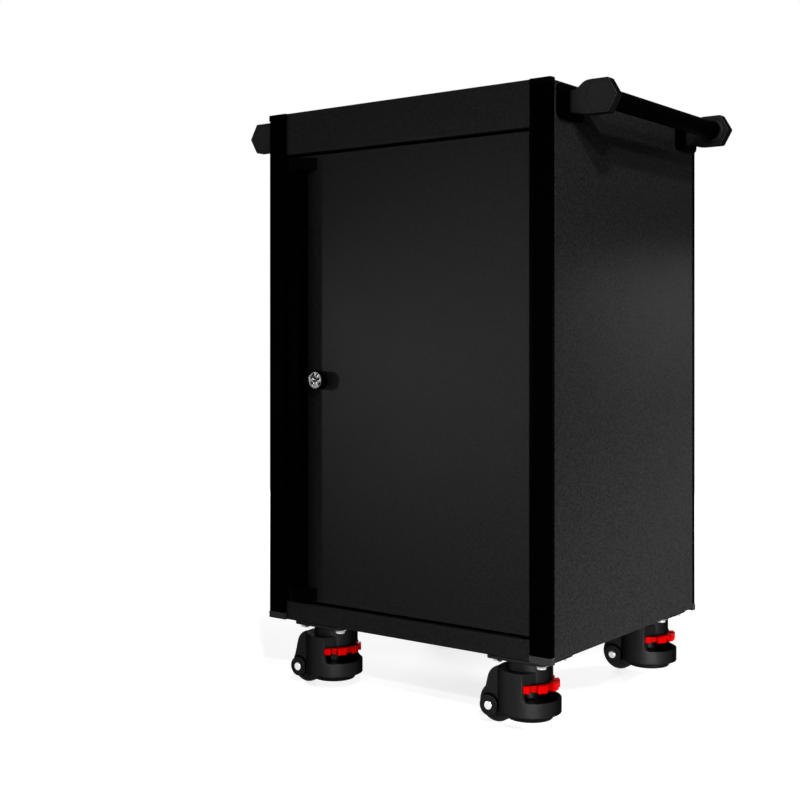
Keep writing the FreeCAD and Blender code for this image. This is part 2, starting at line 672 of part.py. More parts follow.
def make_pull_cap(z0, z1):
    """An end cap of the pull, with a ramp down to the door on each side."""
    front = DOOR_FACE_Y - PULL_PROUD - PULL_CAP_PROUD
    left = PULL_RIGHT_X - PULL_FLANGE_WIDTH
    points = [(-DOOR_HALF, DOOR_FACE_Y), (-DOOR_HALF, DOOR_FACE_Y - PULL_WALL), (left, front),
              (PULL_RIGHT_X, front), (PULL_RIGHT_X + PULL_CAP_RAMP, DOOR_FACE_Y)]
    cap = prism(points, z0, z1)
    edges = edges_along(cap, Z_AXIS, lambda p: p.y < front + FIT)
    return cap.makeFillet(PULL_EDGE_RADIUS, edges)


# Lock

def make_lock_barrel():
    """The lock's round housing in front of the door and its threaded body through it."""
    front = DOOR_FACE_Y - LOCK_PROUD
    head = rod_y(LOCK_RADIUS, front, DOOR_FACE_Y, LOCK_X, LOCK_Z)
    rim = [e for e in head.Edges if abs(e.CenterOfMass.y - front) < 1e-6]
    head = head.makeFillet(LOCK_RIM_RADIUS, rim)
    thread = rod_y(LOCK_THREAD_RADIUS, DOOR_FACE_Y, DOOR_BACK_Y + LOCK_TAIL, LOCK_X, LOCK_Z)
    face_bore = rod_y(LOCK_FACE_RADIUS + FIT, front - 1, front + LOCK_FACE_RECESS + LOCK_FACE_THICKNESS + FIT,
                      LOCK_X, LOCK_Z)
    bore = rod_y(LOCK_SPINDLE_RADIUS + FIT, front - 1, DOOR_BACK_Y + LOCK_TAIL + 1, LOCK_X, LOCK_Z)
    return fused([head, thread]).cut([face_bore, bore])


def make_lock_nut():
    """The nut that clamps the barrel to the door."""
    nut = hexagon_prism(LOCK_NUT_FLATS, Y_AXIS, V(LOCK_X, DOOR_BACK_Y, LOCK_Z), LOCK_NUT_THICKNESS)
    back = DOOR_BACK_Y + LOCK_NUT_THICKNESS
    bore = rod_y(LOCK_THREAD_RADIUS + FIT, DOOR_BACK_Y - 1, back + 1, LOCK_X, LOCK_Z)
    return nut.cut(bore)


def make_lock_plug():
    """The turning plug: a face with a keyway and a spindle out to the cam."""
    front = DOOR_FACE_Y - LOCK_PROUD + LOCK_FACE_RECESS
    face = rod_y(LOCK_FACE_RADIUS, front, front + LOCK_FACE_THICKNESS, LOCK_X, LOCK_Z)
    rim = [e for e in face.Edges if abs(e.CenterOfMass.y - front) < 1e-6]
    face = face.makeFillet(LOCK_FACE_EDGE, rim)
    cam_back = CAM_FRONT_Y + CAM_THICKNESS
    spindle = rod_y(LOCK_SPINDLE_RADIUS, front, cam_back, LOCK_X, LOCK_Z)
    stud = rod_y(LOCK_SPINDLE_RADIUS / 2, front, cam_back + CAM_NUT_THICKNESS, LOCK_X, LOCK_Z)
    keyway = box(LOCK_X - KEYWAY_WIDTH / 2, LOCK_X + KEYWAY_WIDTH / 2, front - 1, front + KEYWAY_DEPTH,
                 LOCK_Z - KEYWAY_HEIGHT / 2, LOCK_Z + KEYWAY_HEIGHT / 2)
    outer = rod_y(LOCK_GROOVE_OUTER, front - 1, front + LOCK_GROOVE_DEPTH, LOCK_X, LOCK_Z)
    groove = outer.cut(rod_y(LOCK_GROOVE_INNER, front - 2, front + LOCK_GROOVE_DEPTH + 1, LOCK_X, LOCK_Z))
    return fused([face, spindle, stud]).cut([keyway, groove])


def make_lock_cam():
    """The long cam, hanging down when unlocked, and its nut."""
    y0 = CAM_FRONT_Y
    y1 = y0 + CAM_THICKNESS
    half = CAM_WIDTH / 2
    bar = box(LOCK_X - half, LOCK_X + half, y0, y1, LOCK_Z - CAM_LENGTH, LOCK_Z + half)
    ends = edges_along(bar, Y_AXIS, lambda p: True)
    bar = bar.makeFillet(CAM_CORNER_RADIUS, ends)
    bore = rod_y(LOCK_SPINDLE_RADIUS + FIT, y0 - 1, y1 + 1, LOCK_X, LOCK_Z)
    nut = hexagon_prism(CAM_NUT_FLATS, Y_AXIS, V(LOCK_X, y1, LOCK_Z), CAM_NUT_THICKNESS)
    stud = rod_y(LOCK_SPINDLE_RADIUS / 2 + FIT, y1 - 1, y1 + CAM_NUT_THICKNESS + 1, LOCK_X, LOCK_Z)
    return group([bar.cut(bore), nut.cut(stud)])


def make_strike():
    """The keeper that the cam swings behind, fixed to the left side panel's front fold."""
    half = STRIKE_HEIGHT / 2
    z0, z1 = LOCK_Z - half, LOCK_Z + half
    seat = -PANEL_INNER_Y
    tongue_back = CAM_FRONT_Y - CAM_CLEARANCE
    tongue_tip = -DOOR_HALF - STRIKE_DOOR_GAP
    web_x = LOCK_X - CAM_LENGTH - STRIKE_THICKNESS - STRIKE_CAM_GAP
    foot = box(web_x - STRIKE_FOOT, web_x + STRIKE_THICKNESS, seat, seat + STRIKE_THICKNESS, z0, z1)
    web = box(web_x, web_x + STRIKE_THICKNESS, seat, tongue_back, z0, z1)
    tongue = box(web_x, tongue_tip, tongue_back - STRIKE_THICKNESS, tongue_back, z0, z1)
    return fused([foot, web, tongue])


# Push handles

def bracket_screw_places(end):
    """The (y, z) places of a bracket's screws, for the front (-1) or rear (1) bracket."""
    y = HANDLE_CENTRE_Y + end * HANDLE_SPACING / 2
    z = BODY_TOP - BRACKET_FLANGE_TOP - BRACKET_FLANGE_HEIGHT / 2
    return [(y - BRACKET_SCREW_SPACING / 2, z), (y + BRACKET_SCREW_SPACING / 2, z)]


def make_arm(y0, y1):
    """A bracket's arm: straight at the root, swelling in an S-curve to the hexagonal end."""
    root_x = HALF_WIDTH + BRACKET_FLANGE_THICKNESS - FIT
    centre_x = HALF_WIDTH + HANDLE_OUT
    middle = BODY_TOP - BRACKET_FLANGE_TOP - BRACKET_FLANGE_HEIGHT / 2
    half = BRACKET_ARM_ROOT / 2
    apothem = HEX_FLATS / 2
    top_root = V(root_x, y0, middle + half)
    top_end = V(centre_x - apothem / math.sqrt(3), y0, HANDLE_Z + apothem)
    bottom_root = V(root_x, y0, middle - half)
    bottom_end = V(centre_x - apothem / math.sqrt(3), y0, HANDLE_Z - apothem)
    span = top_end.x - root_x
    curves = []
    for start, end in ((top_root, top_end), (bottom_end, bottom_root)):
        toward = 1 if end.x > start.x else -1
        pull_x = V(toward * span * BRACKET_ARM_SWEEP, 0, 0)
        bezier = Part.BezierCurve()
        bezier.setPoles([start, start + pull_x, end - pull_x, end])
        curves.append(bezier.toShape())
    wire = Part.Wire([curves[0], Part.makeLine(top_end, bottom_end), curves[1],
                      Part.makeLine(bottom_root, top_root)])
    return Part.Face(wire).extrude(V(0, y1 - y0, 0))


def make_bracket(end):
    """A right-hand handle bracket at the front (-1) or rear (1) end of the handle."""
    y = HANDLE_CENTRE_Y + end * HANDLE_SPACING / 2
    half_y = BRACKET_FLANGE_LENGTH / 2
    z1 = BODY_TOP - BRACKET_FLANGE_TOP
    z0 = z1 - BRACKET_FLANGE_HEIGHT
    x1 = HALF_WIDTH + BRACKET_FLANGE_THICKNESS
    flange = box(HALF_WIDTH, x1, y - half_y, y + half_y, z0, z1)
    flange = flange.makeFillet(BRACKET_FLANGE_CORNER, edges_along(flange, X_AXIS, lambda p: True))
    rim = [e for e in flange.Edges if abs(e.CenterOfMass.x - x1) < 1e-6]
    flange = flange.makeFillet(BRACKET_FLANGE_EDGE, rim)
    half_arm = BRACKET_ARM_THICKNESS / 2
    arm = make_arm(y - half_arm, y + half_arm)
    centre = V(HALF_WIDTH + HANDLE_OUT, y - half_arm, HANDLE_Z)
    hexagon = hexagon_prism(HEX_FLATS, Y_AXIS, centre, BRACKET_ARM_THICKNESS)
    hexagon = hexagon.makeFillet(HEX_EDGE_RADIUS, edges_along(hexagon, Y_AXIS, lambda p: True))
    outer_face = y + end * half_arm
    inner_face = y - end * half_arm
    socket = Part.makeCylinder(SOCKET_RADIUS, SOCKET_PROUD, V(centre.x, inner_face, HANDLE_Z), Y_AXIS * -end)
    panel = hexagon_prism(HEX_PANEL_FLATS, Y_AXIS, V(centre.x, outer_face - end * HEX_PANEL_DEPTH, HANDLE_Z),
                          end * (HEX_PANEL_DEPTH + 1))
    bore = Part.makeCylinder(TUBE_RADIUS + FIT, SOCKET_DEPTH,
                             V(centre.x, inner_face - end * SOCKET_PROUD, HANDLE_Z), Y_AXIS * end)
    bracket = fused([flange, arm, hexagon, socket]).cut([panel, bore])
    cuts = []
    for sy, sz in bracket_screw_places(end):
        cuts.append(rod_x(BRACKET_SCREW_SHANK + FIT, HALF_WIDTH - 1, x1 + 1, sy, sz))
        cuts.append(rod_x(BRACKET_SCREW_HEAD + FIT, x1 - BRACKET_SCREW_SINK, x1 + 1, sy, sz))
    return bracket.cut(cuts)


def make_handle_tube():
    """The right-hand grip tube, seated in the sockets of both brackets."""
    reach = SOCKET_DEPTH - SOCKET_PROUD - FIT
    half = HANDLE_SPACING / 2 - BRACKET_ARM_THICKNESS / 2 + reach
    x = HALF_WIDTH + HANDLE_OUT
    outer = rod_y(TUBE_RADIUS, HANDLE_CENTRE_Y - half, HANDLE_CENTRE_Y + half, x, HANDLE_Z)
    bore = rod_y(TUBE_RADIUS - TUBE_WALL, HANDLE_CENTRE_Y - half - 1, HANDLE_CENTRE_Y + half + 1, x, HANDLE_Z)
    return outer.cut(bore)


def make_bracket_screw(y, z):
    """A socket screw that holds a right-hand bracket to the side panel."""
    seat = HALF_WIDTH + BRACKET_FLANGE_THICKNESS - BRACKET_SCREW_SINK
    head = rod_x(BRACKET_SCREW_HEAD, seat, seat + BRACKET_SCREW_SINK - 1, y, z)
    shank = rod_x(BRACKET_SCREW_SHANK, PANEL_INNER_X - BRACKET_SCREW_REACH, seat + 1, y, z)
    start = V(seat + BRACKET_SCREW_SOCKET_FLOOR, y, z)
    corners = []
    for k in range(7):
        angle = math.radians(60 * k)
        corners.append(start + V(0, math.cos(angle), math.sin(angle)) * BRACKET_SCREW_SOCKET)
    socket = Part.Face(Part.makePolygon(corners)).extrude(X_AXIS * BRACKET_SCREW_SINK)
    return fused([head, shank]).cut(socket)


# Casters. Each is built round its swivel axis, with the wheel trailing to the left

def caster_places():
    """The (x, y) places of the swivel axes: right front, left front, right rear, left rear."""
    return [(CASTER_RIGHT_X, -CASTER_Y), (CASTER_LEFT_X, -CASTER_Y),
            (CASTER_RIGHT_X, CASTER_Y), (CASTER_LEFT_X, CASTER_Y)]


def bolt_places():
    """The bolt pattern of a caster plate, about its middle."""
    return [(sx * BOLT_HALF_X, sy * BOLT_HALF_Y) for sx in (-1, 1) for sy in (-1, 1)]


def make_plate():
    """The top plate with its king pin."""
    half_x, half_y = PLATE_WIDTH / 2, PLATE_DEPTH / 2
    plate = box(-half_x, half_x, -half_y, half_y, PLATE_BOTTOM, CASTER_HEIGHT)
    plate = plate.makeFillet(PLATE_CORNER_RADIUS, edges_along(plate, Z_AXIS, lambda p: True))
    pin = cylinder(KING_PIN_RADIUS, PLATE_BOTTOM - KING_PIN_LENGTH, PLATE_BOTTOM)
    holes = [cylinder(BOLT_RADIUS + BOLT_HOLE_CLEARANCE, PLATE_BOTTOM - 1, CASTER_HEIGHT + 1, x, y)
             for x, y in bolt_places()]
    return fused([plate, pin]).cut(holes)


def make_bolt(x, y):
    """A caster bolt with its washer under the plate, screwed into the base pan's pad."""
    washer_bottom = PLATE_BOTTOM - WASHER_THICKNESS
    head = hexagon_prism(BOLT_HEAD_FLATS, Z_AXIS, V(x, y, washer_bottom - BOLT_HEAD_HEIGHT), BOLT_HEAD_HEIGHT,
                         BOLT_HEAD_TURN)
    washer = cylinder(WASHER_RADIUS, washer_bottom, PLATE_BOTTOM, x, y)
    shank_top = BODY_BOTTOM + BASE_SHEET + PAD_THICKNESS + BOLT_END
    shank = cylinder(BOLT_RADIUS, washer_bottom - 1, shank_top, x, y)
    return fused([head, washer, shank])


def boss_point(degrees):
    """A point on the boss's outline, at an angle up from the direction of the swivel axis."""
    angle = math.radians(degrees)
    return V(-TRAIL + BOSS_RADIUS * math.cos(angle), 0, WHEEL_RADIUS + BOSS_RADIUS * math.sin(angle))


def cheek_outline():
    """The side outline of the cheeks: fender over the wheel, boss round the axle."""
    boss_left = boss_point(180)
    boss_low = boss_point(BOSS_LOW_DEGREES)
    boss_under = boss_point(BOSS_UNDER_DEGREES)
    waist = V(-TRAIL - CHEEK_WAIST[0], 0, RING_TOP + CHEEK_WAIST[1])
    shoulder = V(-TRAIL - CHEEK_SHOULDER[0], 0, CHEEK_TOP - CHEEK_SHOULDER[1])
    crown_mid = V(-TRAIL + CHEEK_CROWN_MIDDLE[0], 0, CHEEK_TOP - CHEEK_CROWN_MIDDLE[1])
    crown = V(-TRAIL + CHEEK_CROWN, 0, CHEEK_TOP)
    top_in = V(-CHEEK_ROOT_X, 0, CHEEK_TOP)
    low_in = V(-CHEEK_ROOT_X, 0, CUP_BOTTOM)
    low = V(-TRAIL + CHEEK_LOW[0], 0, CUP_BOTTOM - CHEEK_LOW[1])
    return Part.Wire([
        Part.Arc(boss_left, boss_under, boss_low).toShape(),
        Part.makeLine(boss_low, low),
        Part.makeLine(low, low_in),
        Part.makeLine(low_in, top_in),
        Part.makeLine(top_in, crown),
        Part.Arc(crown, crown_mid, shoulder).toShape(),
        Part.makeLine(shoulder, waist),
        Part.makeLine(waist, boss_left),
    ])


def make_housing():
    """The swivel housing: turret, cup with its window, cheeks, wheel well and stem sleeve."""
    turret = cylinder(TURRET_RADIUS, THUMB_TOP + SWIVEL_GAP, TURRET_TOP)
    cup = cylinder(CUP_RADIUS, CUP_BOTTOM, CUP_TOP)
    hollow = cylinder(CUP_RADIUS - RING_WALL, CUP_BOTTOM + CUP_FLOOR, THUMB_BOTTOM - SWIVEL_GAP)
    thumb_room = cylinder(THUMB_RADIUS + THUMB_CLEARANCE, THUMB_BOTTOM - SWIVEL_GAP - FIT,
                          THUMB_TOP + SWIVEL_GAP)
    window = prism([(WINDOW_INNER_X, -WINDOW_INNER_Y), (WINDOW_OUTER_X, -WINDOW_OUTER_Y),
                    (2 * CUP_RADIUS, -WINDOW_OUTER_Y), (2 * CUP_RADIUS, WINDOW_OUTER_Y),
                    (WINDOW_OUTER_X, WINDOW_OUTER_Y), (WINDOW_INNER_X, WINDOW_INNER_Y)],
                   RING_TOP, CUP_TOP + 10)
    corners = []
    for edge in window.Edges:
        middle = edge.CenterOfMass
        on_sill = abs(middle.z - RING_TOP) < 1e-6
        if on_sill and middle.x < WINDOW_INNER_X and WINDOW_INNER_Y < abs(middle.y) < WINDOW_OUTER_Y - 1:
            corners.append(edge)
    window = window.makeFillet(WINDOW_CORNER, corners)
    cheeks = Part.Face(cheek_outline()).extrude(V(0, 2 * CHEEK_HALF_WIDTH, 0))
    cheeks.translate(V(0, -CHEEK_HALF_WIDTH, 0))
    boss_half = CHEEK_HALF_WIDTH + BOSS_PROUD
    boss = rod_y(BOSS_RADIUS, -boss_half, boss_half, -TRAIL, WHEEL_RADIUS)
    boss_rims = [e for e in boss.Edges if abs(abs(e.CenterOfMass.y) - boss_half) < 1e-6]
    boss = boss.makeFillet(ROUND_EDGE, boss_rims)
    inner_zone = cylinder(CUP_RADIUS - 0.5, 0, CHEEK_TOP + 5)
    outer_cheeks = cheeks.cut(inner_zone)
    shell = cup.cut(window).cut([hollow, thumb_room])
    solid = fused([shell, turret, outer_cheeks, boss])
    well_radius = WHEEL_RADIUS + WELL_CLEARANCE
    well = rod_y(well_radius, -WELL_HALF_WIDTH, WELL_HALF_WIDTH, -TRAIL, WHEEL_RADIUS)
    well_low = box(-TRAIL - well_radius, -TRAIL + well_radius, -WELL_HALF_WIDTH, WELL_HALF_WIDTH,
                   0, WHEEL_RADIUS)
    solid = solid.cut([well, well_low])
    sleeve = cylinder(SLEEVE_RADIUS, CUP_BOTTOM, THUMB_BOTTOM - SWIVEL_GAP)
    cone = Part.makeCone(CONE_RADIUS, SLEEVE_RADIUS, CONE_TOP - CUP_BOTTOM - CUP_FLOOR,
                         V(0, 0, CUP_BOTTOM + CUP_FLOOR), Z_AXIS)
    cone = cone.cut([well, well_low])
    solid = fused([solid, sleeve, cone])
    stem = foot_stem(CUP_BOTTOM - 1, THUMB_BOTTOM, FIT)
    stem_room = cylinder(STEM_CLEAR_RADIUS, THUMB_BOTTOM, PLATE_BOTTOM)
    pin_room = cylinder(KING_PIN_RADIUS + FIT, PLATE_BOTTOM - KING_PIN_LENGTH - SWIVEL_GAP, PLATE_BOTTOM)
    axle = rod_y(AXLE_RADIUS + FIT, -boss_half - 1, boss_half + 1, -TRAIL, WHEEL_RADIUS)
    return solid.cut([stem, stem_room, pin_room, axle])


def make_axle():
    """The axle pin with a round head at each end."""
    half = CHEEK_HALF_WIDTH + BOSS_PROUD
    pin = rod_y(AXLE_RADIUS, -half, half, -TRAIL, WHEEL_RADIUS)
    heads = []
    for side in (-1, 1):
        seat = V(-TRAIL, side * half, WHEEL_RADIUS)
        head = Part.makeCylinder(AXLE_HEAD_RADIUS, AXLE_HEAD_HEIGHT, seat, Y_AXIS * side)
        rim = [e for e in head.Edges if abs(abs(e.CenterOfMass.y) - half - AXLE_HEAD_HEIGHT) < 1e-6]
        heads.append(head.makeFillet(ROUND_EDGE, rim))
    return fused([pin] + heads)


def make_wheel():
    """The wheel: rounded tread, dished sides and a hub that reaches the cheeks."""
    half = WHEEL_WIDTH / 2
    tread = rod_y(WHEEL_RADIUS, -half, half, -TRAIL, WHEEL_RADIUS)
    rims = [e for e in tread.Edges if abs(abs(e.CenterOfMass.y) - half) < 1e-6]
    tread = tread.makeFillet(WHEEL_EDGE_RADIUS, rims)
    dishes = []
    for y0, y1 in ((-half - 1, -half + WHEEL_DISH_DEPTH), (half - WHEEL_DISH_DEPTH, half + 1)):
        dishes.append(rod_y(WHEEL_DISH_RADIUS, y0, y1, -TRAIL, WHEEL_RADIUS))
    hub_half = WELL_HALF_WIDTH - SWIVEL_GAP
    hub = rod_y(WHEEL_HUB_RADIUS, -hub_half, hub_half, -TRAIL, WHEEL_RADIUS)
    bore = rod_y(AXLE_RADIUS + PIN_CLEARANCE, -hub_half - 1, hub_half + 1, -TRAIL, WHEEL_RADIUS)
    return fused([tread.cut(dishes), hub]).cut(bore)


def make_thumbwheel():
    """The toothed thumbwheel, bored for the foot's stem."""
    root = THUMB_RADIUS - THUMB_TOOTH_DEPTH
    disc = cylinder(root, THUMB_BOTTOM + THUMB_DISC_INSET, THUMB_TOP - THUMB_DISC_INSET)
    hub = cylinder(SLEEVE_RADIUS + 5, THUMB_BOTTOM, THUMB_TOP)
    rim = cylinder(THUMB_RADIUS, THUMB_BOTTOM, THUMB_TOP)
    teeth = []
    half = math.radians(THUMB_TOOTH_DEGREES / 2)
    reach = 1.2 * THUMB_RADIUS
    for k in range(THUMB_TEETH):
        middle = math.radians(THUMB_FIRST_TOOTH_DEGREES + 360.0 * k / THUMB_TEETH)
        points = [(0.0, 0.0)]
        for angle in (middle - half, middle + half):
            points.append((reach * math.cos(angle), reach * math.sin(angle)))
        sector = prism(points, THUMB_BOTTOM, THUMB_TOP).common(rim)
        teeth.append(sector.cut(cylinder(root - 3, THUMB_BOTTOM - 1, THUMB_TOP + 1)))
    bore = cylinder(FOOT_STEM_RADIUS + PIN_CLEARANCE, THUMB_BOTTOM - 1, THUMB_TOP + 1)
    return fused([disc, hub] + teeth).cut(bore)


def foot_stem(z0, z1, clearance):
    """The foot's stem: a rod with one flat that keeps it from turning."""
    rod = cylinder(FOOT_STEM_RADIUS + clearance, z0, z1)
    reach = 2 * FOOT_STEM_RADIUS
    flat = box(FOOT_STEM_FLAT + clearance, reach, -reach, reach, z0 - 1, z1 + 1)
    return rod.cut(flat)


def make_foot():
    """The levelling foot: a round pad, notched beside the wheel, on its stem."""
    z0 = FOOT_PAD_BOTTOM
    z1 = z0 + FOOT_PAD_HEIGHT
    pad = cylinder(FOOT_PAD_RADIUS, z0, z1)
    pad = pad.makeFillet(FOOT_PAD_EDGE, [e for e in pad.Edges if abs(e.CenterOfMass.z - z0) < 1e-6])
    edge_x = -TRAIL + WHEEL_RADIUS + FOOT_NOTCH_CLEARANCE
    half = WHEEL_WIDTH / 2 + FOOT_NOTCH_CLEARANCE
    notch = box(-2 * FOOT_PAD_RADIUS, edge_x, -half, half, z0 - 1, z1 + 1)
    stem = foot_stem(z1 - 1, FOOT_STEM_TOP, 0)
    return fused([pad.cut(notch), stem])


def save(name, shape):
    """Write one node, moved so that the origin is under the middle of the whole outline."""
    moved = shape.copy()
    moved.translate(V(0, SHIFT_Y, 0))
    moved.exportStep("parts/" + name + ".step")


def place(shape, spot):
    """A copy of a caster piece at a caster's axis."""
    copy = shape.copy()
    copy.translate(V(spot[0], spot[1], 0))
    return copy


def save_cabinet():
    """Posts, caps, screws, panels and rails."""
    names = ("right_front", "left_front", "right_rear", "left_rear")
    for name, post in zip(names, corners_of(make_post())):
        save("post_" + name, post)
    save("top_caps", group(corners_of(make_top_cap())))
    save("bottom_caps", group(corners_of(make_bottom_cap())))
    screws = []
    for z in screw_heights():
        screws += corners_of(make_post_screw(z))
    save("post_screws", group(screws))
    side = make_side_panel()
    save("side_panel_right", side)
    save("side_panel_left", mirrored_x(side))
    save("back_panel", make_back_panel())
    save("top_panel", make_top_panel())
    save("base_pan", make_base_pan())
    save("floor_panel", make_floor_panel())
    save("header_panel", make_header())
    save("bottom_rail", make_bottom_rail())
    save("rear_rails", make_rear_rails())


def save_shelves():
    """Shelf standards, clips and shelves."""
    save("shelf_standards", group(corners_of(make_standard())))
    clips = []
    for name, height in zip(("shelf_lower", "shelf_upper"), SHELF_HEIGHTS):
        seat = shelf_seat(height)
        clips += corners_of(make_clip(seat))
        save(name, make_shelf(seat))
    save("shelf_clips", group(clips))


def save_door():
    """Door, pivots, pull and lock."""
    save("door_skin", make_door_skin())
    save("door_liner", make_door_liner())
    save("door_bushes", group([make_bush(DOOR_BOTTOM, 1), make_bush(DOOR_TOP, -1)]))
    pivots = [make_pivot(RAIL_TOP, DOOR_BOTTOM, 1), make_pivot(HEADER_BOTTOM, DOOR_TOP, -1)]
    save("hinge_pivots", group(pivots))
    save("door_pull", make_pull())
    low = DOOR_BOTTOM + PULL_END_GAP / 2
    high = DOOR_TOP - PULL_END_GAP
    caps = [make_pull_cap(low, low + PULL_CAP_HEIGHT), make_pull_cap(high - PULL_CAP_HEIGHT, high)]
    save("pull_end_caps", group(caps))
    save("lock_barrel", make_lock_barrel())
    save("lock_nut", make_lock_nut())
    save("lock_plug", make_lock_plug())
    save("lock_cam", make_lock_cam())
    save("strike_plate", make_strike())


def save_handles():
    """Push handles on both sides."""
    brackets = [make_bracket(-1), make_bracket(1)]
    tube = make_handle_tube()
    save("handle_brackets_right", group(brackets))
    save("handle_brackets_left", group([mirrored_x(b) for b in brackets]))
    save("handle_tube_right", tube)
    save("handle_tube_left", mirrored_x(tube))
    screws = []
    for end in (-1, 1):
        for y, z in bracket_screw_places(end):
            screw = make_bracket_screw(y, z)
            screws += [screw, mirrored_x(screw)]
    save("handle_screws", group(screws))


def save_casters():
    """The four levelling casters."""
    plate, housing, axle = make_plate(), make_housing(), make_axle()
    wheel, thumb, foot = make_wheel(), make_thumbwheel(), make_foot()
    names = ("right_front", "left_front", "right_rear", "left_rear")
    plates, bolts = [], []
    for name, spot in zip(names, caster_places()):
        plates.append(place(plate, spot))
        for bx, by in bolt_places():
            bolts.append(make_bolt(spot[0] + bx, spot[1] + by))
        save("caster_housing_" + name, place(housing, spot))
        save("caster_axle_" + name, place(axle, spot))
        save("caster_wheel_" + name, place(wheel, spot))
        save("thumbwheel_" + name, place(thumb, spot))
        save("levelling_foot_" + name, place(foot, spot))
    save("caster_plates", group(plates))
    save("caster_bolts", group(bolts))


os.makedirs("parts", exist_ok=True)
save_cabinet()
save_shelves()
save_door()
save_handles()
save_casters()
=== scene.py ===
"""Dresses the rolling locker: eased sheet metal, rounded castings, fasteners, finishes and studio."""
import json
import logging
import math
from dataclasses import dataclass
from enum import Enum
from typing import Callable, Iterable, Mapping, Sequence

import bmesh
import bpy
from mathutils import Matrix, Vector


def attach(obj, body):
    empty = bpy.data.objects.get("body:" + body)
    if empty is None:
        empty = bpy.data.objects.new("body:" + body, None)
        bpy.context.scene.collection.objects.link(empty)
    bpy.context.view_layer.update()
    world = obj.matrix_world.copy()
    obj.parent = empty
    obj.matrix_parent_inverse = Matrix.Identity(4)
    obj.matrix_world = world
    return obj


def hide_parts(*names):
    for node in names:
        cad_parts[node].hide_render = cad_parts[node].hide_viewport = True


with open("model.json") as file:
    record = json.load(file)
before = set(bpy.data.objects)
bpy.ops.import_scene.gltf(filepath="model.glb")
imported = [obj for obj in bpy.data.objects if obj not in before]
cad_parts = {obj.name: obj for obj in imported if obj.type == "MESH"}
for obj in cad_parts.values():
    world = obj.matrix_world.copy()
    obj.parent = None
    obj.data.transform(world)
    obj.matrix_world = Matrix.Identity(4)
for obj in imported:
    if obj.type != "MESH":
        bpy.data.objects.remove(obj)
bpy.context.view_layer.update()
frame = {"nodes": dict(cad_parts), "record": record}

log = logging.getLogger("locker")

MM = 0.001
DEPTH_SHIFT = 8.0  # millimetres along the depth from the cabinet's middle to the frame's origin
PLAY = 0.05  # millimetres between pieces that lie against each other
WHITE = (1.0, 1.0, 1.0, 1.0)

Point2 = tuple[float, float]
Point3 = tuple[float, float, float]
Colour = tuple[float, float, float, float]
Row = tuple[float, ...]
Outline = tuple[Point2, ...]


class Axis(Enum):
    """The direction that an outline is drawn along, or that a turned piece spins round."""

    ACROSS = "x"
    ALONG = "y"
    UP = "z"

    def ring(self, outline: Iterable[Point2], reach: float) -> list[Point3]:
        """Lay an outline across the axis.

        Args:
            outline: Its points in the plane across the axis.
            reach: Its place along the axis.

        Returns:
            The points as x, y and z.
        """
        if self is Axis.ACROSS:
            return [(reach, a, b) for a, b in outline]
        if self is Axis.ALONG:
            return [(a, reach, b) for a, b in outline]
        return [(a, b, reach) for a, b in outline]


class Blend(Enum):
    """How one form is worked into another."""

    ADD = "UNION"
    CUT = "DIFFERENCE"


class Corner(Enum):
    """The four corners of the locker, with the signs of their place across and along."""

    RIGHT_FRONT = ("right_front", 1, -1)
    LEFT_FRONT = ("left_front", -1, -1)
    RIGHT_REAR = ("right_rear", 1, 1)
    LEFT_REAR = ("left_rear", -1, 1)

    @property
    def label(self) -> str:
        """The corner's name as the nodes spell it."""
        return self.value[0]

    @property
    def across(self) -> int:
        """1 on the right, -1 on the left."""
        return self.value[1]

    @property
    def along(self) -> int:
        """1 at the rear, -1 at the front."""
        return self.value[2]


def about(middle: float, half: float) -> Point2:
    """The two places at half a width on either side of a middle."""
    return (middle - half, middle + half)


def rectangle(x: Point2, y: Point2) -> list[Point2]:
    """The corners of a rectangle between two pairs of limits."""
    return [(x[0], y[0]), (x[1], y[0]), (x[1], y[1]), (x[0], y[1])]


def shifted(profile: Iterable[Point2], place: float, way: float = 1.0, radius: float = 0.0) -> list[Point2]:
    """A profile of radius and reach, set off from a place one way or the other, and from a radius."""
    return [(radius + out, place + way * reach) for out, reach in profile]


def circle(radius: float, steps: int, centre: Point2 = (0.0, 0.0)) -> list[Point2]:
    """Points round a circle, in order."""
    turns = [2 * math.pi * k / steps for k in range(steps)]
    return [(centre[0] + radius * math.cos(a), centre[1] + radius * math.sin(a)) for a in turns]


def swell(share: float) -> float:
    """A soft step from 0 to 1, over a share that is kept between the two."""
    share = max(0.0, min(1.0, share))
    return share * share * (3 - 2 * share)


def rounded(points: Sequence[Point2], radii: float | Sequence[float], steps: int = 4) -> list[Point2]:
    """Round the corners of an outline.

    Args:
        points: The outline's corners in order.
        radii: One radius for all corners, or one for each.
        steps: Facets on each rounded corner.

    Returns:
        The outline with an arc in place of each corner whose radius isn't zero.
    """
    if isinstance(radii, (int, float)):
        radii = [float(radii)] * len(points)
    made: list[Point2] = []
    for k, radius in enumerate(radii):
        here = Vector(points[k])
        back = (Vector(points[k - 1]) - here).normalized()
        ahead = (Vector(points[(k + 1) % len(points)]) - here).normalized()
        opening = back.angle(ahead)
        if radius <= 0 or math.pi - opening < 1e-3:
            made.append((here.x, here.y))
            continue
        run = radius / math.tan(opening / 2)
        centre = here + (back + ahead).normalized() * (radius / math.sin(opening / 2))
        first = here + back * run - centre
        last = here + ahead * run - centre
        for step in range(steps + 1):
            spoke = centre + first.slerp(last, step / steps) * radius
            made.append((spoke.x, spoke.y))
    return made


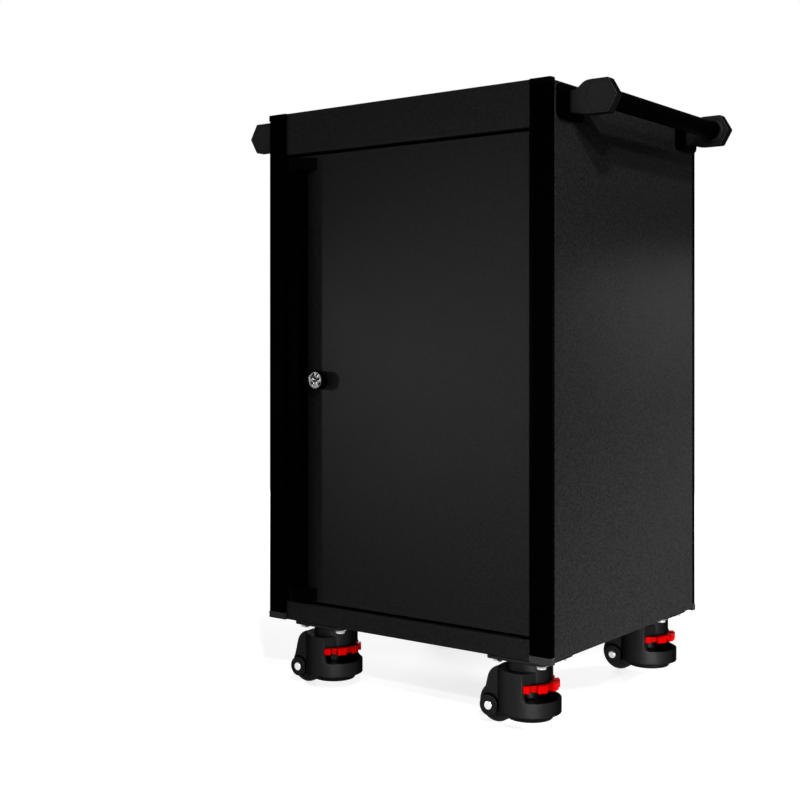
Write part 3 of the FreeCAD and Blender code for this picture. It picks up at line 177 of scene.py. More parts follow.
def folded(path: Sequence[Point2], sheet: float, bend: float) -> list[Point2]:
    """Draw the section of a folded sheet.

    Args:
        path: Middle line of the sheet, with a corner at each fold.
        sheet: Thickness of the sheet.
        bend: Inside radius of the folds.

    Returns:
        The closed outline of the section.
    """
    sides: dict[int, list[Point2]] = {1: [], -1: []}
    curves: dict[int, list[float]] = {1: [], -1: []}
    last = len(path) - 1
    for k, spot in enumerate(path):
        here = Vector(spot)
        into = (here - Vector(path[k - 1])).normalized() if k > 0 else None
        away = (Vector(path[k + 1]) - here).normalized() if k < last else None
        heading = into or away
        bisector = Vector((-heading.y, heading.x))
        turn = 0.0
        if into is not None and away is not None:
            turn = into.x * away.y - into.y * away.x
            bisector = Vector((-into.y - away.y, into.x + away.x)).normalized()
            bisector /= bisector.dot(Vector((-into.y, into.x)))
        for side in (1, -1):
            corner = here + bisector * (side * sheet / 2)
            sides[side].append((corner.x, corner.y))
            curves[side].append(0.0 if turn == 0.0 else bend if turn * side > 0 else bend + sheet)
    return rounded(sides[1] + sides[-1][::-1], curves[1] + curves[-1][::-1])


def set_up(thing: bpy.types.bpy_struct, settings: Mapping[str, object]) -> None:
    """Set properties of a node, modifier or lamp by their names."""
    for name, value in settings.items():
        setattr(thing, name, value)


def stand(name: str, data: bpy.types.ID, place: Point3 = (0.0, 0.0, 0.0)) -> bpy.types.Object:
    """Put a new object into the scene.

    Args:
        name: Name of the object.
        data: Its mesh, lamp or camera.
        place: Where it stands, in metres.

    Returns:
        The object.
    """
    thing = bpy.data.objects.new(name, data)
    thing.location = place
    bpy.context.scene.collection.objects.link(thing)
    return thing


class Form:
    """A shape under construction, in millimetres about the middle of the cabinet."""

    def __init__(self) -> None:
        """Start with nothing in it."""
        self.bm = bmesh.new()
        self.dressed: bpy.types.Mesh | None = None

    def loft(self, rings: Sequence[Sequence[Point3]], looped: bool = False) -> "Form":
        """Skin a stack of rings that have the same number of points.

        Args:
            rings: The rings in order.
            looped: Whether the last ring joins on to the first, instead of both being closed.

        Returns:
            The form itself.
        """
        stack = [[self.bm.verts.new(p) for p in ring] for ring in rings]
        count = len(stack[0])
        pairs = list(zip(stack, stack[1:]))
        if looped:
            pairs.append((stack[-1], stack[0]))
        for low, high in pairs:
            for k in range(count):
                after = (k + 1) % count
                self.bm.faces.new((low[k], low[after], high[after], high[k]))
        if not looped:
            self.bm.faces.new(stack[0][::-1])
            self.bm.faces.new(stack[-1])
        return self.settle()

    def prism(self, outline: Sequence[Point2], axis: Axis, low: float, high: float) -> "Form":
        """Draw an outline along an axis, from a low to a high place."""
        return self.loft([axis.ring(outline, reach) for reach in (low, high)])

    def box(self, x: Point2, y: Point2, z: Point2) -> "Form":
        """Add a block between the low and the high x, y and z."""
        return self.prism(rectangle(x, y), Axis.UP, *z)

    def turned(self, profile: Iterable[Point2], axis: Axis, centre: Point2 = (0.0, 0.0), steps: int = 48,
               looped: bool = False) -> "Form":
        """Add a piece turned round an axis, from pairs of radius and place; looped closes it round a bore."""
        return self.loft([axis.ring(circle(radius, steps, centre), reach) for radius, reach in profile], looped)

    def rod(self, radius: float, axis: Axis, span: Point2, centre: Point2 = (0.0, 0.0), steps: int = 48) -> "Form":
        """Add a plain cylinder between two places along an axis."""
        return self.turned([(radius, reach) for reach in span], axis, centre, steps)

    def settle(self) -> "Form":
        """Turn all faces outwards."""
        bmesh.ops.recalc_face_normals(self.bm, faces=self.bm.faces)
        return self

    def ease(self, width: float, steps: int = 2, sharper: float = 30.0) -> "Form":
        """Round the sharp edges.

        Args:
            width: Width of the rounding.
            steps: Facets across it.
            sharper: Smallest angle, in degrees, that counts as an edge.

        Returns:
            The form itself.
        """
        limit = math.radians(sharper)
        edges = [e for e in self.bm.edges if len(e.link_faces) == 2 and e.calc_face_angle() > limit]
        bmesh.ops.bevel(self.bm, geom=edges, offset=width, segments=steps, profile=0.5, affect="EDGES",
                        clamp_overlap=True)
        return self

    def moved(self, x: float = 0.0, y: float = 0.0, z: float = 0.0) -> "Form":
        """Shift the form."""
        bmesh.ops.translate(self.bm, vec=(x, y, z), verts=self.bm.verts)
        return self

    def sized(self, x: float, y: float, z: float) -> "Form":
        """Stretch the form, or mirror it where a factor is -1."""
        bmesh.ops.scale(self.bm, vec=(x, y, z), verts=self.bm.verts)
        return self

    def mirrored(self, across: int = 1, along: int = 1) -> "Form":
        """Mirror the form on to the side that the signs name."""
        return self.sized(across, along, 1).settle()

    def spun(self, degrees: float) -> "Form":
        """Turn the form about the depth axis through the origin.

        Args:
            degrees: How far it is turned.

        Returns:
            The form itself.
        """
        turn = Matrix.Rotation(math.radians(degrees), 3, "Y")
        bmesh.ops.rotate(self.bm, cent=(0, 0, 0), matrix=turn, verts=self.bm.verts)
        return self

    def gather(self, others: Iterable["Form"]) -> "Form":
        """Take in other forms as loose neighbours.

        Args:
            others: The forms to take in.

        Returns:
            The form itself.
        """
        for other in others:
            mesh = other.to_mesh("passing")
            self.bm.from_mesh(mesh)
            bpy.data.meshes.remove(mesh)
        return self

    def copied(self) -> "Form":
        """A second form of the same shape."""
        return Form().gather([self])

    def to_mesh(self, name: str) -> bpy.types.Mesh:
        """Write the form to a mesh.

        Args:
            name: Name of the mesh.

        Returns:
            The mesh, still in millimetres.
        """
        mesh = bpy.data.meshes.new(name)
        self.bm.to_mesh(mesh)
        return mesh

    def through(self, steps: Iterable[tuple[str, Mapping[str, object]]]) -> "Form":
        """Pass the form through modifiers and keep the result.

        Args:
            steps: Each modifier's kind and its settings.

        Returns:
            The form itself, with the result.
        """
        holder = stand("passing", self.to_mesh("passing"))
        for kind, settings in steps:
            set_up(holder.modifiers.new(kind, kind), settings)
        bpy.context.view_layer.update()
        result = bpy.data.meshes.new_from_object(holder.evaluated_get(bpy.context.evaluated_depsgraph_get()))
        self.bm.clear()
        self.bm.from_mesh(result)
        for mesh in (result, holder.data):
            bpy.data.meshes.remove(mesh)
        return self.settle()

    def worked(self, tools: Sequence["Form"], how: Blend) -> "Form":
        """Join forms on to this one, or cut them out of it.

        Args:
            tools: The forms that are added or taken away.
            how: Whether they are added or cut.

        Returns:
            The form itself, with the result.
        """
        helpers = [stand("passing_tool", tool.to_mesh("passing_tool")) for tool in tools]
        self.through([("BOOLEAN", {"operation": how.value, "solver": "EXACT", "object": helper})
                      for helper in helpers])
        for helper in helpers:
            bpy.data.meshes.remove(helper.data)
        return self

    def cast(self, voxel: float, passes: int, keep: float) -> "Form":
        """Soften the form as a casting.

        Args:
            voxel: Size of the grid that it is rebuilt on.
            passes: How often the surface is smoothed.
            keep: Share of the faces that is kept at the end.

        Returns:
            The form itself, with all its edges soft.
        """
        return self.through([("REMESH", {"mode": "VOXEL", "voxel_size": voxel}),
                             ("SMOOTH", {"factor": 0.5, "iterations": passes}), ("DECIMATE", {"ratio": keep})])


def pressed_sheet(columns: Sequence[float], rows: Sequence[float], face: float, through: float,
                  relief: Callable[[float, float], float]) -> Form:
    """An upright sheet with shapes pressed into it.

    Args:
        columns: Places of its grid lines across.
        rows: Heights of its grid lines.
        face: Where its outer face stands along the depth.
        through: Step from the outer face to the other one.
        relief: Height of the pressed shape at a place, added along the depth.

    Returns:
        The sheet's form.
    """
    form = Form()
    near, far = [[[form.bm.verts.new((x, face + step + relief(x, z), z)) for x in columns] for z in rows]
                 for step in (0.0, through)]
    for grid in (near, far):
        for low, high in zip(grid, grid[1:]):
            for k in range(len(columns) - 1):
                form.bm.faces.new((low[k], low[k + 1], high[k + 1], high[k]))
    last_row, last_column = len(rows) - 1, len(columns) - 1
    rim = [(0, k) for k in range(last_column)] + [(j, last_column) for j in range(last_row)]
    rim += [(last_row, k) for k in range(last_column, 0, -1)] + [(j, 0) for j in range(last_row, 0, -1)]
    for (j0, k0), (j1, k1) in zip(rim, rim[1:] + rim[:1]):
        form.bm.faces.new((near[j0][k0], near[j1][k1], far[j1][k1], far[j0][k0]))
    return form.settle()


def screen(*levels: float) -> Colour:
    """Turn a colour seen on a screen into the linear one that a shader takes.

    Args:
        levels: One level of grey, 0 to 255, or the levels of red, green and blue.

    Returns:
        The linear colour.
    """
    shares = [level / 255.0 for level in (levels if len(levels) == 3 else levels * 3)]
    return (*(s / 12.92 if s <= 0.04045 else ((s + 0.055) / 1.055) ** 2.4 for s in shares), 1.0)


class NodeBoard:
    """A node tree, with short calls to add and join its nodes."""

    def __init__(self, tree: bpy.types.NodeTree) -> None:
        """Clear a tree and take it up."""
        self.tree = tree
        tree.nodes.clear()

    def add(self, kind: str, values: Mapping[str, object] | None = None, **settings: object) -> bpy.types.Node:
        """Add a node.

        Args:
            kind: Its type, without the words that all shader nodes start with.
            values: What its inputs are set to, by their names.
            settings: Its own settings.

        Returns:
            The node.
        """
        node = self.tree.nodes.new("ShaderNode" + kind)
        set_up(node, settings)
        for name, value in (values or {}).items():
            node.inputs[name].default_value = value
        return node

    def join(self, source: bpy.types.Node, out: str | int, target: bpy.types.Node, into: str | int) -> None:
        """Link one node's output to another node's input."""
        self.tree.links.new(source.outputs[out], target.inputs[into])

    def seen_directly(self) -> bpy.types.Node:
        """Add the nodes that tell rays of sight and reflection from rays of light.

        Returns:
            A node that gives 1 for what the camera, metal or glass shows.
        """
        path = self.add("LightPath")
        source, out = path, "Is Camera Ray"
        for kind in ("Is Glossy Ray", "Is Transmission Ray"):
            either = self.add("Math", operation="MAXIMUM")
            self.join(source, out, either, 0)
            self.join(path, kind, either, 1)
            source, out = either, "Value"
        return source


class MaterialBoard(NodeBoard):
    """A material's node tree round one shader."""

    LIMITS = ("From Min", "From Max", "To Min", "To Max")
    NOISE_SPAN = (0.3, 0.7)  # what a noise mostly keeps to
    TINT_SPAN = (0.35, 0.65)  # where along it the tones stand

    def __init__(self, name: str, values: Mapping[str, object]) -> None:
        """Start a material.

        Args:
            name: Name of the material.
            values: What the shader's inputs are set to, by their names.
        """
        self.material = bpy.data.materials.new(name)
        self.material.use_nodes = True
        super().__init__(self.material.node_tree)
        self.shader = self.add("BsdfPrincipled", values)
        self.join(self.shader, "BSDF", self.add("OutputMaterial"), "Surface")
        self.place = self.add("TexCoord")

    def noise(self, spot: float, detail: float) -> bpy.types.Node:
        """Add a noise that is fixed to the piece.

        Args:
            spot: Size of its spots in millimetres.
            detail: Octaves of finer detail.

        Returns:
            The noise node.
        """
        node = self.add("TexNoise", {"Scale": 1.0 / (spot * MM), "Detail": detail})
        self.join(self.place, "Object", node, "Vector")
        return node

    def roughen(self, source: bpy.types.Node, rough: Point2) -> None:
        """Let a noise set the roughness.

        Args:
            source: The noise node.
            rough: Roughness where the noise is weakest, and where it is strongest.
        """
        node = self.add("MapRange", dict(zip(self.LIMITS, self.NOISE_SPAN + rough)))
        self.join(source, "Fac", node, "Value")
        self.join(node, "Result", self.shader, "Roughness")

    def tint(self, source: bpy.types.Node, tones: tuple[Colour, Colour], painted_shade_reach: float) -> None:
        """Colour the surface between two tones along a noise.

        Args:
            source: The noise node.
            tones: Colour where the noise is weakest, and where it is strongest.
            painted_shade_reach: Reach in millimetres of the painted shade that darkens the colour in corners and seams,
                or 0 for none.
        """
        ramp = self.add("ValToRGB")
        for stop, position, tone in zip(ramp.color_ramp.elements, self.TINT_SPAN, tones):
            stop.position, stop.color = position, tone
        self.join(source, "Fac", ramp, "Fac")
        # Painted shade: an ambient-occlusion node darkens the base colour in corners and seams.
        if painted_shade_reach > 0:
            shade = self.add("AmbientOcclusion", {"Distance": painted_shade_reach * MM}, samples=8)
            self.join(ramp, "Color", shade, "Color")
            ramp = shade
        self.join(ramp, "Color", self.shader, "Base Color")

    def relief(self, source: bpy.types.Node, depth: float) -> None:
        """Press a noise into the surface, on top of any relief that is there.

        Args:
            source: The noise node.
            depth: Height of the relief in millimetres.
        """
        bump = self.add("Bump", {"Distance": depth * MM})
        self.join(source, "Fac", bump, "Height")
        links = self.shader.inputs["Normal"].links
        if links:
            self.tree.links.new(links[0].from_socket, bump.inputs["Normal"])
        self.join(bump, "Normal", self.shader, "Normal")


@dataclass(frozen=True)
class Coat:
    """A painted, moulded or plated finish.

    Attributes:
        name: Name of the material.
        dark: Darker tone of the fine mottling.
        light: Lighter tone of the fine mottling.
        rough: Lowest and highest roughness of the coarse mottling.
        gloss: Specular level of the shader.
        metal: 1 for bare metal, 0 for paint or plastic.
        grain: Size of the fine relief in millimetres.
        depth: Height of the fine relief in millimetres.
        wave: Size of the coarse mottling in millimetres.
        ripple: Height of the coarse relief in millimetres.
        painted_shade_reach: Reach in millimetres of the painted shade that darkens the colour in corners and seams, or
            0 for none.
        rim: How bright the gloss is where the surface turns away.
    """

    name: str
    dark: Colour
    light: Colour
    rough: Point2
    gloss: float = 0.5
    metal: float = 0.0
    grain: float = 1.0
    depth: float = 0.02
    wave: float = 60.0
    ripple: float = 0.0
    painted_shade_reach: float = 0.0
    rim: float = 1.0

    def made(self) -> bpy.types.Material:
        """Build the material.

        Returns:
            The finished node material.
        """
        board = MaterialBoard(self.name, {"Metallic": self.metal, "Specular IOR Level": self.gloss,
                                          "Specular Tint": (self.rim, self.rim, self.rim, 1.0)})
        fine, coarse = board.noise(self.grain, 3.0), board.noise(self.wave, 2.0)
        board.tint(fine, (self.dark, self.light), self.painted_shade_reach)
        board.roughen(coarse, self.rough)
        board.relief(fine, self.depth)
        if self.ripple > 0:
            board.relief(coarse, self.ripple)
        return board.material


# Coats with a reach of shade get painted shade: their colour is darkened in corners and seams.
COATS = (
    # panel_paint and the side coat after it are one powder coat: the door's copy is painted darker, the side, top and
    # back panels' copy lighter, as painted light and shade for how the lamps fall on them.
    Coat("panel_paint", screen(0), screen(13), (0.47, 0.53), 0.048, grain=2.6, depth=0.25, wave=240, ripple=0.05),
    Coat("side_paint_painted_lighter", screen(18), screen(38), (0.31, 0.35), 0.0025, grain=2.4, depth=0.1, wave=240, ripple=0.05),
    Coat("shelf_paint", screen(30), screen(42), (0.45, 0.5), 0.1, grain=2.2, depth=0.05, wave=200),
    Coat("post_black", screen(0), screen(1.2), (0.42, 0.48), 0.0006, grain=2.0, wave=120),
    Coat("cap_plastic", screen(0.5), screen(2.5), (0.5, 0.55), 0.002, grain=1.2, wave=30),
    Coat("dark_screw", screen(0), screen(0.5), (0.4, 0.5), 0.001, grain=0.7, depth=0.01, wave=10, painted_shade_reach=3),
    Coat("tube_black", screen(0), screen(1.5), (0.5, 0.56), 0.0006, grain=2.0, depth=0.04, wave=90),
    Coat("bracket_black", screen(27), screen(36), (0.5, 0.56), metal=1.0, grain=1.6, depth=0.05, wave=40, painted_shade_reach=5,
         rim=0.1),
    # The flanges' copy of the bracket finish, painted near black as the shade that the arms cast on them.
    Coat("flange_painted_shade", screen(0), screen(1.5), (0.42, 0.5), 0.001, grain=1.6, depth=0.04, wave=40),
    Coat("caster_black", screen(24), screen(32), (0.5, 0.56), metal=1.0, grain=1.6, depth=0.05, wave=30, painted_shade_reach=9,
         rim=0.1),
    Coat("thumb_red", screen(148, 0, 0), screen(162, 0, 0), (0.5, 0.58), 0.01, grain=1.4, wave=18, painted_shade_reach=12),
    Coat("wheel_nylon", screen(14), screen(22), (0.5, 0.6), 0.05, grain=1.2, depth=0.03, wave=25, painted_shade_reach=5),
    Coat("foot_black", screen(9), screen(16), (0.5, 0.6), 0.01, grain=1.2, depth=0.04, wave=30, painted_shade_reach=5),
    Coat("zinc_steel", screen(206, 207, 209), screen(232, 233, 235), (0.24, 0.34), metal=1.0, grain=0.6, depth=0.004,
         wave=8),
    # The door bushes are given near black as painted shade, so that they read as part of the dark gap round the door.
    Coat("bush_plastic", screen(0.5), screen(1.5), (0.5, 0.6), 0.001, grain=0.8, depth=0.01),
    Coat("lock_black", screen(0.5), screen(3), (0.3, 0.36), 0.02, depth=0.01, wave=20, painted_shade_reach=3),
    Coat("lock_face", screen(88, 89, 90), screen(118, 119, 120), (0.2, 0.3), metal=1.0, grain=0.5, depth=0.003,
         wave=6),
    # The bottom caps' copy of the cap plastic, painted lighter than the top caps' as painted light for how the lamps
    # fall on them.
    Coat("cap_plastic_painted_lighter", screen(27), screen(38), (0.42, 0.5), 0.03, grain=1.2, depth=0.03, wave=25),
    Coat("sole_rubber", screen(8), screen(16), (0.7, 0.8), 0.1, grain=0.9, depth=0.05, wave=15),
)


class Paintshop:
    """Holds the finishes and puts pieces into the model."""

    def __init__(self) -> None:
        """Mix every finish once."""
        self.pots = {coat.name: coat.made() for coat in COATS}

    def carried_over(self) -> None:
        """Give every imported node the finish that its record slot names."""
        for part in frame["record"]["subparts"]:
            node = frame["nodes"][part["node"]]
            node.data.materials.clear()
            node.data.materials.append(self.pots[part["material_slot"]])

    def dress(self, form: Form, name: str, coat: str) -> bpy.types.Mesh:
        """Turn a form into the mesh that all its pieces share.

        Args:
            form: The form in millimetres.
            name: Name of the mesh.
            coat: Its finish.

        Returns:
            The mesh in metres.
        """
        if form.dressed is None:
            form.dressed = form.to_mesh(name)
            form.dressed.transform(Matrix.Scale(MM, 4))
            form.dressed.shade_smooth()
            form.dressed.materials.clear()
            form.dressed.materials.append(self.pots[coat])
            form.bm.free()
        return form.dressed

    def show(self, name: str, form: Form, slot: str, stands_for: Sequence[str], body: str = "cabinet",
             coat: str | None = None, at: Point3 = (0.0, 0.0, 0.0), crisp: bool = True) -> None:
        """Make a piece of the model from a form.

        Args:
            name: Name of the piece.
            form: Its form in millimetres, which other pieces may share.
            slot: The record's material slot.
            stands_for: The nodes that it takes the place of.
            body: Body that it rides on.
            coat: Its finish, where the slot has more than one.
            at: Place of the form's origin in millimetres from the middle of the cabinet.
            crisp: Whether large faces keep their own shading and only the rounding is smooth.
        """
        place = (at[0] * MM, (at[1] + DEPTH_SHIFT) * MM, at[2] * MM)
        piece = stand(name, self.dress(form, name, coat or slot), place)
        if crisp:
            set_up(piece.modifiers.new("shading", "WEIGHTED_NORMAL"), {"weight": 80})
        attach(piece, body)
        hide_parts(*stands_for)
        log.info("%s rides on %s", name, body)


@dataclass
class CornerPosts:
    """The four corner posts with their caps and screws.

    Attributes:
        inner: Distance from the middle to a post's inner edge.
        outer: Distance to its outer face.
        front: Distance from the middle to its front face.
        back: Distance to its back face.
        span: Bottom and top of the post between its caps.
        slope: Width and depth of the sloping strip along the inner edge.
        edges: Radii of the post's corners, from the inner back one round to the outer back one.
        screws: Heights of the screws.
        screw_x: Distance from the middle to the screws.
        seat: Radius and depth of the screws' seats.
        head: Outline of a screw's head from its foot into its socket, as radius and depth in the seat.
        bottom: Height of the bottom caps' undersides.
        top_stages: How far a top cap stands past the post, at each height above the post.
        top_edges: Radii of its corners.
        bottom_stages: How far a bottom cap stands past the post, at each height above its underside.
        bottom_edges: Radii of its corners.
        bevel: Bevel on its outer corner.
    """

    inner: float = 270.0
    outer: float = 311.0
    front: float = 278.0
    back: float = 266.0
    span: Point2 = (136.0, 1072.0)
    slope: Point2 = (6.0, 1.0)
    edges: Row = (0.3, 0.4, 3.0, 3.5, 0.3)
    screws: Row = (206.0, 405.0, 604.0, 803.0, 1002.0)
    screw_x: float = 287.0
    seat: Point2 = (4.55, 3.0)
    head: Outline = ((4.2, 2.9), (4.5, 2.6), (4.5, 0.9), (4.1, 0.4), (3.3, 0.1), (2.4, 0.0), (1.7, 0.2), (1.5, 1.8))
    bottom: float = 124.0
    top_stages: Outline = ((-0.6, 0.0), (-0.6, 0.8), (1.0, 1.2), (1.0, 10.2), (0.5, 11.3), (-0.4, 11.85), (-1.2, 12.0))
    top_edges: Row = (0.3, 1.5, 3.5, 0.3)
    bottom_stages: Outline = ((0.2, 0.0), (1.0, 0.8), (1.0, 10.8), (0.6, 11.6), (-0.2, 12.0))
    bottom_edges: Row = (0.3, 0.8, 0.5, 0.5, 0.3)
    bevel: float = 2.5

    def post(self) -> Form:
        """Draw the right front post.

        Returns:
            Its form: rounded outer edge, sloping inner strip and screw seats.
        """
        front = -self.front
        corners = [(self.inner, -self.back), (self.inner, front + self.slope[1]), (self.inner + self.slope[0], front),
                   (self.outer, front), (self.outer, -self.back)]
        radius, depth = self.seat
        seats = [Form().rod(radius, Axis.ALONG, (front - 1, front + depth), (self.screw_x, height), 24)
                 for height in self.screws]
        return Form().prism(rounded(corners, self.edges, 5), Axis.UP, *self.span).worked(seats, Blend.CUT)

    def screw(self, height: float) -> Form:
        """A socket screw in its seat at a height."""
        return Form().turned(shifted(self.head, PLAY - self.front), Axis.ALONG, (self.screw_x, height), 24)

    def cap(self, stages: Outline, foot: float, edges: Row, bevel: float = 0.0) -> Form:
        """Draw a cap of the right front post.

        Args:
            stages: How far it stands past the post, at each height above its foot.
            foot: Height of its foot.
            edges: Radii of its corners.
            bevel: Bevel on its outer corner, or 0 for none.

        Returns:
            The cap's form.
        """
        rings = []
        for proud, rise in stages:
            x, y = self.outer + proud, -self.front - proud
            tip = [(x - bevel, y), (x, y + bevel)] if bevel else [(x, y)]
            outline = [(self.inner, -self.back), (self.inner, y), *tip, (x, -self.back)]
            rings.append(Axis.UP.ring(rounded(outline, edges, 3 if bevel else 5), foot + rise))
        return Form().loft(rings)

    def build(self, shop: Paintshop) -> None:
        """Make the posts, caps and screws.

        Args:
            shop: Where the pieces get their finish.
        """
        post, screws, top, bottom = self.post(), Form(), Form(), Form()
        for corner in Corner:
            signs = (corner.across, -corner.along)
            shop.show("dressed_post_" + corner.label, post.copied().mirrored(*signs), "post_black",
                      ["post_" + corner.label])
            screws.gather([self.screw(height).mirrored(*signs) for height in self.screws])
            top.gather([self.cap(self.top_stages, self.span[1], self.top_edges).mirrored(*signs)])
            bottom.gather([self.cap(self.bottom_stages, self.bottom, self.bottom_edges, self.bevel).mirrored(*signs)])
        shop.show("post_socket_screws", screws, "dark_screw", ["post_screws"])
        shop.show("moulded_top_caps", top, "cap_plastic", ["top_caps"])
        # The bottom caps take the copy of the cap plastic that is painted lighter.
        shop.show("moulded_bottom_caps", bottom, "cap_plastic", ["bottom_caps"], coat="cap_plastic_painted_lighter")


@dataclass
class CabinetSheets:
    """The cabinet's folded sheets.

    Attributes:
        half_width: Distance from the middle to the side panels' outer faces.
        wall: Distance from the middle to the folds behind the posts.
        sheet: Thickness of the sheets.
        bend: Inside radius of the folds.
        top_bend: Inside radius of the folds of the top panel.
        opening: Half the clear width between the posts.
        face: Distance from the middle to the face of the header and rails.
        side_span: Bottom and top of the side panels.
        side_fold: Depth of the side panels' front and rear folds.
        side_feet: Depth of the side panels' bottom folds.
        top_fold: Depth of the folds round the top panel.
        turn_down: Depth of the header's fold behind its top edge.
        header_span: Bottom and top of the header.
        header_shelf: Depth of the header's bottom fold.
        stiffener: Height of the edge behind that fold.
        rail_span: Bottom and top of the rail under the door.
        rear_rails: Bottom and top of the two rear rails.
        rib_heights: Middle heights of the back panel's ribs.
        rib: Half length, half height and depth of a rib.
        rib_flank: How much steeper than its half height a rib's flank is.
        rib_grid: Step of the grid over a rib.
    """

    half_width: float = 311.0
    wall: float = 264.5
    sheet: float = 1.5
    bend: float = 0.8
    top_bend: float = 0.4
    opening: float = 270.0
    face: float = 274.0
    side_span: Point2 = (128.5, 1079.5)
    side_fold: float = 30.0
    side_feet: float = 11.0
    top_fold: float = 18.0
    turn_down: float = 22.5
    header_span: Point2 = (1004.5, 1084.0)
    header_shelf: float = 30.0
    stiffener: float = 12.0
    rail_span: Point2 = (124.0, 160.0)
    rear_rails: tuple[Point2, Point2] = ((1024.0, 1084.0), (124.0, 184.0))
    rib_heights: Point2 = (444.0, 764.0)
    rib: Point3 = (240.0, 12.0, 4.0)
    rib_flank: float = 2.2
    rib_grid: float = 1.5

    def between_posts(self, path: Sequence[Point2]) -> Form:
        """A folded sheet between the posts, from the middle line of its section."""
        return Form().prism(folded(path, self.sheet, self.bend), Axis.ACROSS, -self.opening, self.opening)

    def side_panel(self) -> Form:
        """Fold the right side panel.

        Returns:
            Its form, with the folds behind the posts, under the top panel and at the bottom.
        """
        half, depth = self.sheet / 2, about(0.0, self.wall)
        inner, outer, wall = self.half_width - self.side_fold, self.half_width - half, self.wall + half
        path = [(inner, -wall), (outer, -wall), (outer, wall), (inner, wall)]
        low, high = self.side_span
        inside = self.half_width - self.sheet
        upper = Form().box((self.half_width - self.top_fold, inside), depth,
                           (high - 2 * self.sheet, high - self.sheet))
        lower = Form().box((self.half_width - self.side_feet, inside), depth, (low, low + self.sheet))
        return Form().prism(folded(path, self.sheet, self.bend), Axis.UP, low, high).gather([upper, lower])

    def header(self) -> Form:
        """Fold the panel over the door.

        Returns:
            Its form, folded down in front of the top panel and up behind its bottom fold.
        """
        half = self.sheet / 2
        low, high = self.header_span
        wall, face = -self.wall - half, -self.face + half
        shelf = -self.face + self.header_shelf - half
        return self.between_posts([(wall, high - self.turn_down), (wall, high - half), (face, high - half),
                                   (face, low + half), (shelf, low + half), (shelf, low + self.stiffener)])

    def rail(self) -> Form:
        """Fold the rail under the door.

        Returns:
            Its form.
        """
        half, face = self.sheet / 2, -self.face + self.sheet / 2
        low, high = self.rail_span
        return self.between_posts([(-self.wall + self.sheet, high - half), (face, high - half), (face, low + half),
                                   (-self.wall, low + half)])

    def rear_rail(self, low: float, high: float) -> Form:
        """Fold a channel between the rear posts.

        Args:
            low: Its bottom.
            high: Its top.

        Returns:
            Its form.
        """
        half = self.sheet / 2
        root, face = self.wall + self.sheet, self.face - half
        return self.between_posts([(root, high - half), (face, high - half), (face, low + half), (root, low + half)])

    def top_panel(self) -> Form:
        """Fold the flat top.

        Returns:
            Its form, with a fold at the front and the rear.
        """
        high, half = self.side_span[1], self.sheet / 2
        wall, foot = self.wall - half, high - self.top_fold
        path = [(-wall, foot), (-wall, high - half), (wall, high - half), (wall, foot)]
        fold, edge = self.half_width - self.top_fold - PLAY, self.half_width - self.sheet
        ends = [Form().box(span, about(0.0, self.wall), (high - self.sheet, high))
                for span in ((-edge, -fold), (fold, edge))]
        return Form().prism(folded(path, self.sheet, self.top_bend), Axis.ACROSS, -fold, fold).gather(ends)

    def rib_relief(self, x: float, z: float) -> float:
        """Press the ribs into the back panel.

        Args:
            x: Place across.
            z: Height.

        Returns:
            How far the panel stands out there.
        """
        length, half, depth = self.rib
        away = [math.hypot(max(abs(x) - (length - half), 0.0), z - middle) / half for middle in self.rib_heights]
        return sum(depth * swell((1.0 - share) * self.rib_flank) for share in away)

    def back_panel(self) -> Form:
        """Draw the back panel.

        Returns:
            Its form, with two pressed ribs.
        """
        edge = self.half_width - self.side_fold - PLAY
        length, reach, _ = self.rib
        steps = round(reach / self.rib_grid)
        ends = [length - reach + self.rib_grid * step for step in range(steps + 1)]
        columns = [-edge] + [-x for x in ends[::-1]] + ends + [edge]
        rows = [self.rail_span[0], self.side_span[1]]
        rows += [middle + self.rib_grid * step for middle in self.rib_heights for step in range(-steps, steps + 1)]
        return pressed_sheet(columns, sorted(rows), self.wall + self.sheet, -self.sheet, self.rib_relief)

    def build(self, shop: Paintshop) -> None:
        """Make the sheets.

        Args:
            shop: Where the pieces get their finish.
        """
        # The side, top and back panels take the copy of the panel paint that is painted lighter.
        for side, sign in (("right", 1), ("left", -1)):
            shop.show("folded_side_" + side, self.side_panel().mirrored(sign), "panel_paint", ["side_panel_" + side],
                      coat="side_paint_painted_lighter")
        shop.show("folded_header", self.header(), "panel_paint", ["header_panel"])
        shop.show("folded_bottom_rail", self.rail(), "panel_paint", ["bottom_rail"])
        rails = Form().gather([self.rear_rail(*span) for span in self.rear_rails])
        shop.show("folded_rear_rails", rails, "panel_paint", ["rear_rails"])
        shop.show("folded_top", self.top_panel(), "panel_paint", ["top_panel"], coat="side_paint_painted_lighter")
        shop.show("ribbed_back", self.back_panel(), "panel_paint", ["back_panel"], coat="side_paint_painted_lighter")


@dataclass
class Interior:
    """The shelves inside the locker.

    Attributes:
        seats: Heights of the shelves' undersides.
        half_width: Half the shelves' width.
        span: Front and rear edge of the shelves.
        sheet: Thickness of the shelves.
        bend: Inside radius of the folds.
        fold: Depth of the folds at the front and the rear.
    """

    seats: Point2 = (460.0, 760.0)
    half_width: float = 305.5
    span: Point2 = (-219.0, 258.5)
    sheet: float = 1.2
    bend: float = 0.8
    fold: float = 25.0

    def shelf(self, seat: float) -> Form:
        """Fold one shelf.

        Args:
            seat: Height of its underside.

        Returns:
            Its form, with its front and rear edge turned down.
        """
        half = self.sheet / 2
        top, low = seat + half, seat + self.sheet - self.fold
        front, rear = self.span[0] + half, self.span[1] - half
        path = [(front, low), (front, top), (rear, top), (rear, low)]
        return Form().prism(folded(path, self.sheet, self.bend), Axis.ACROSS, -self.half_width, self.half_width)

    def build(self, shop: Paintshop) -> None:
        """Make the shelves."""
        for name, seat in zip(("shelf_lower", "shelf_upper"), self.seats):
            shop.show("folded_" + name, self.shelf(seat), "shelf_paint", [name])


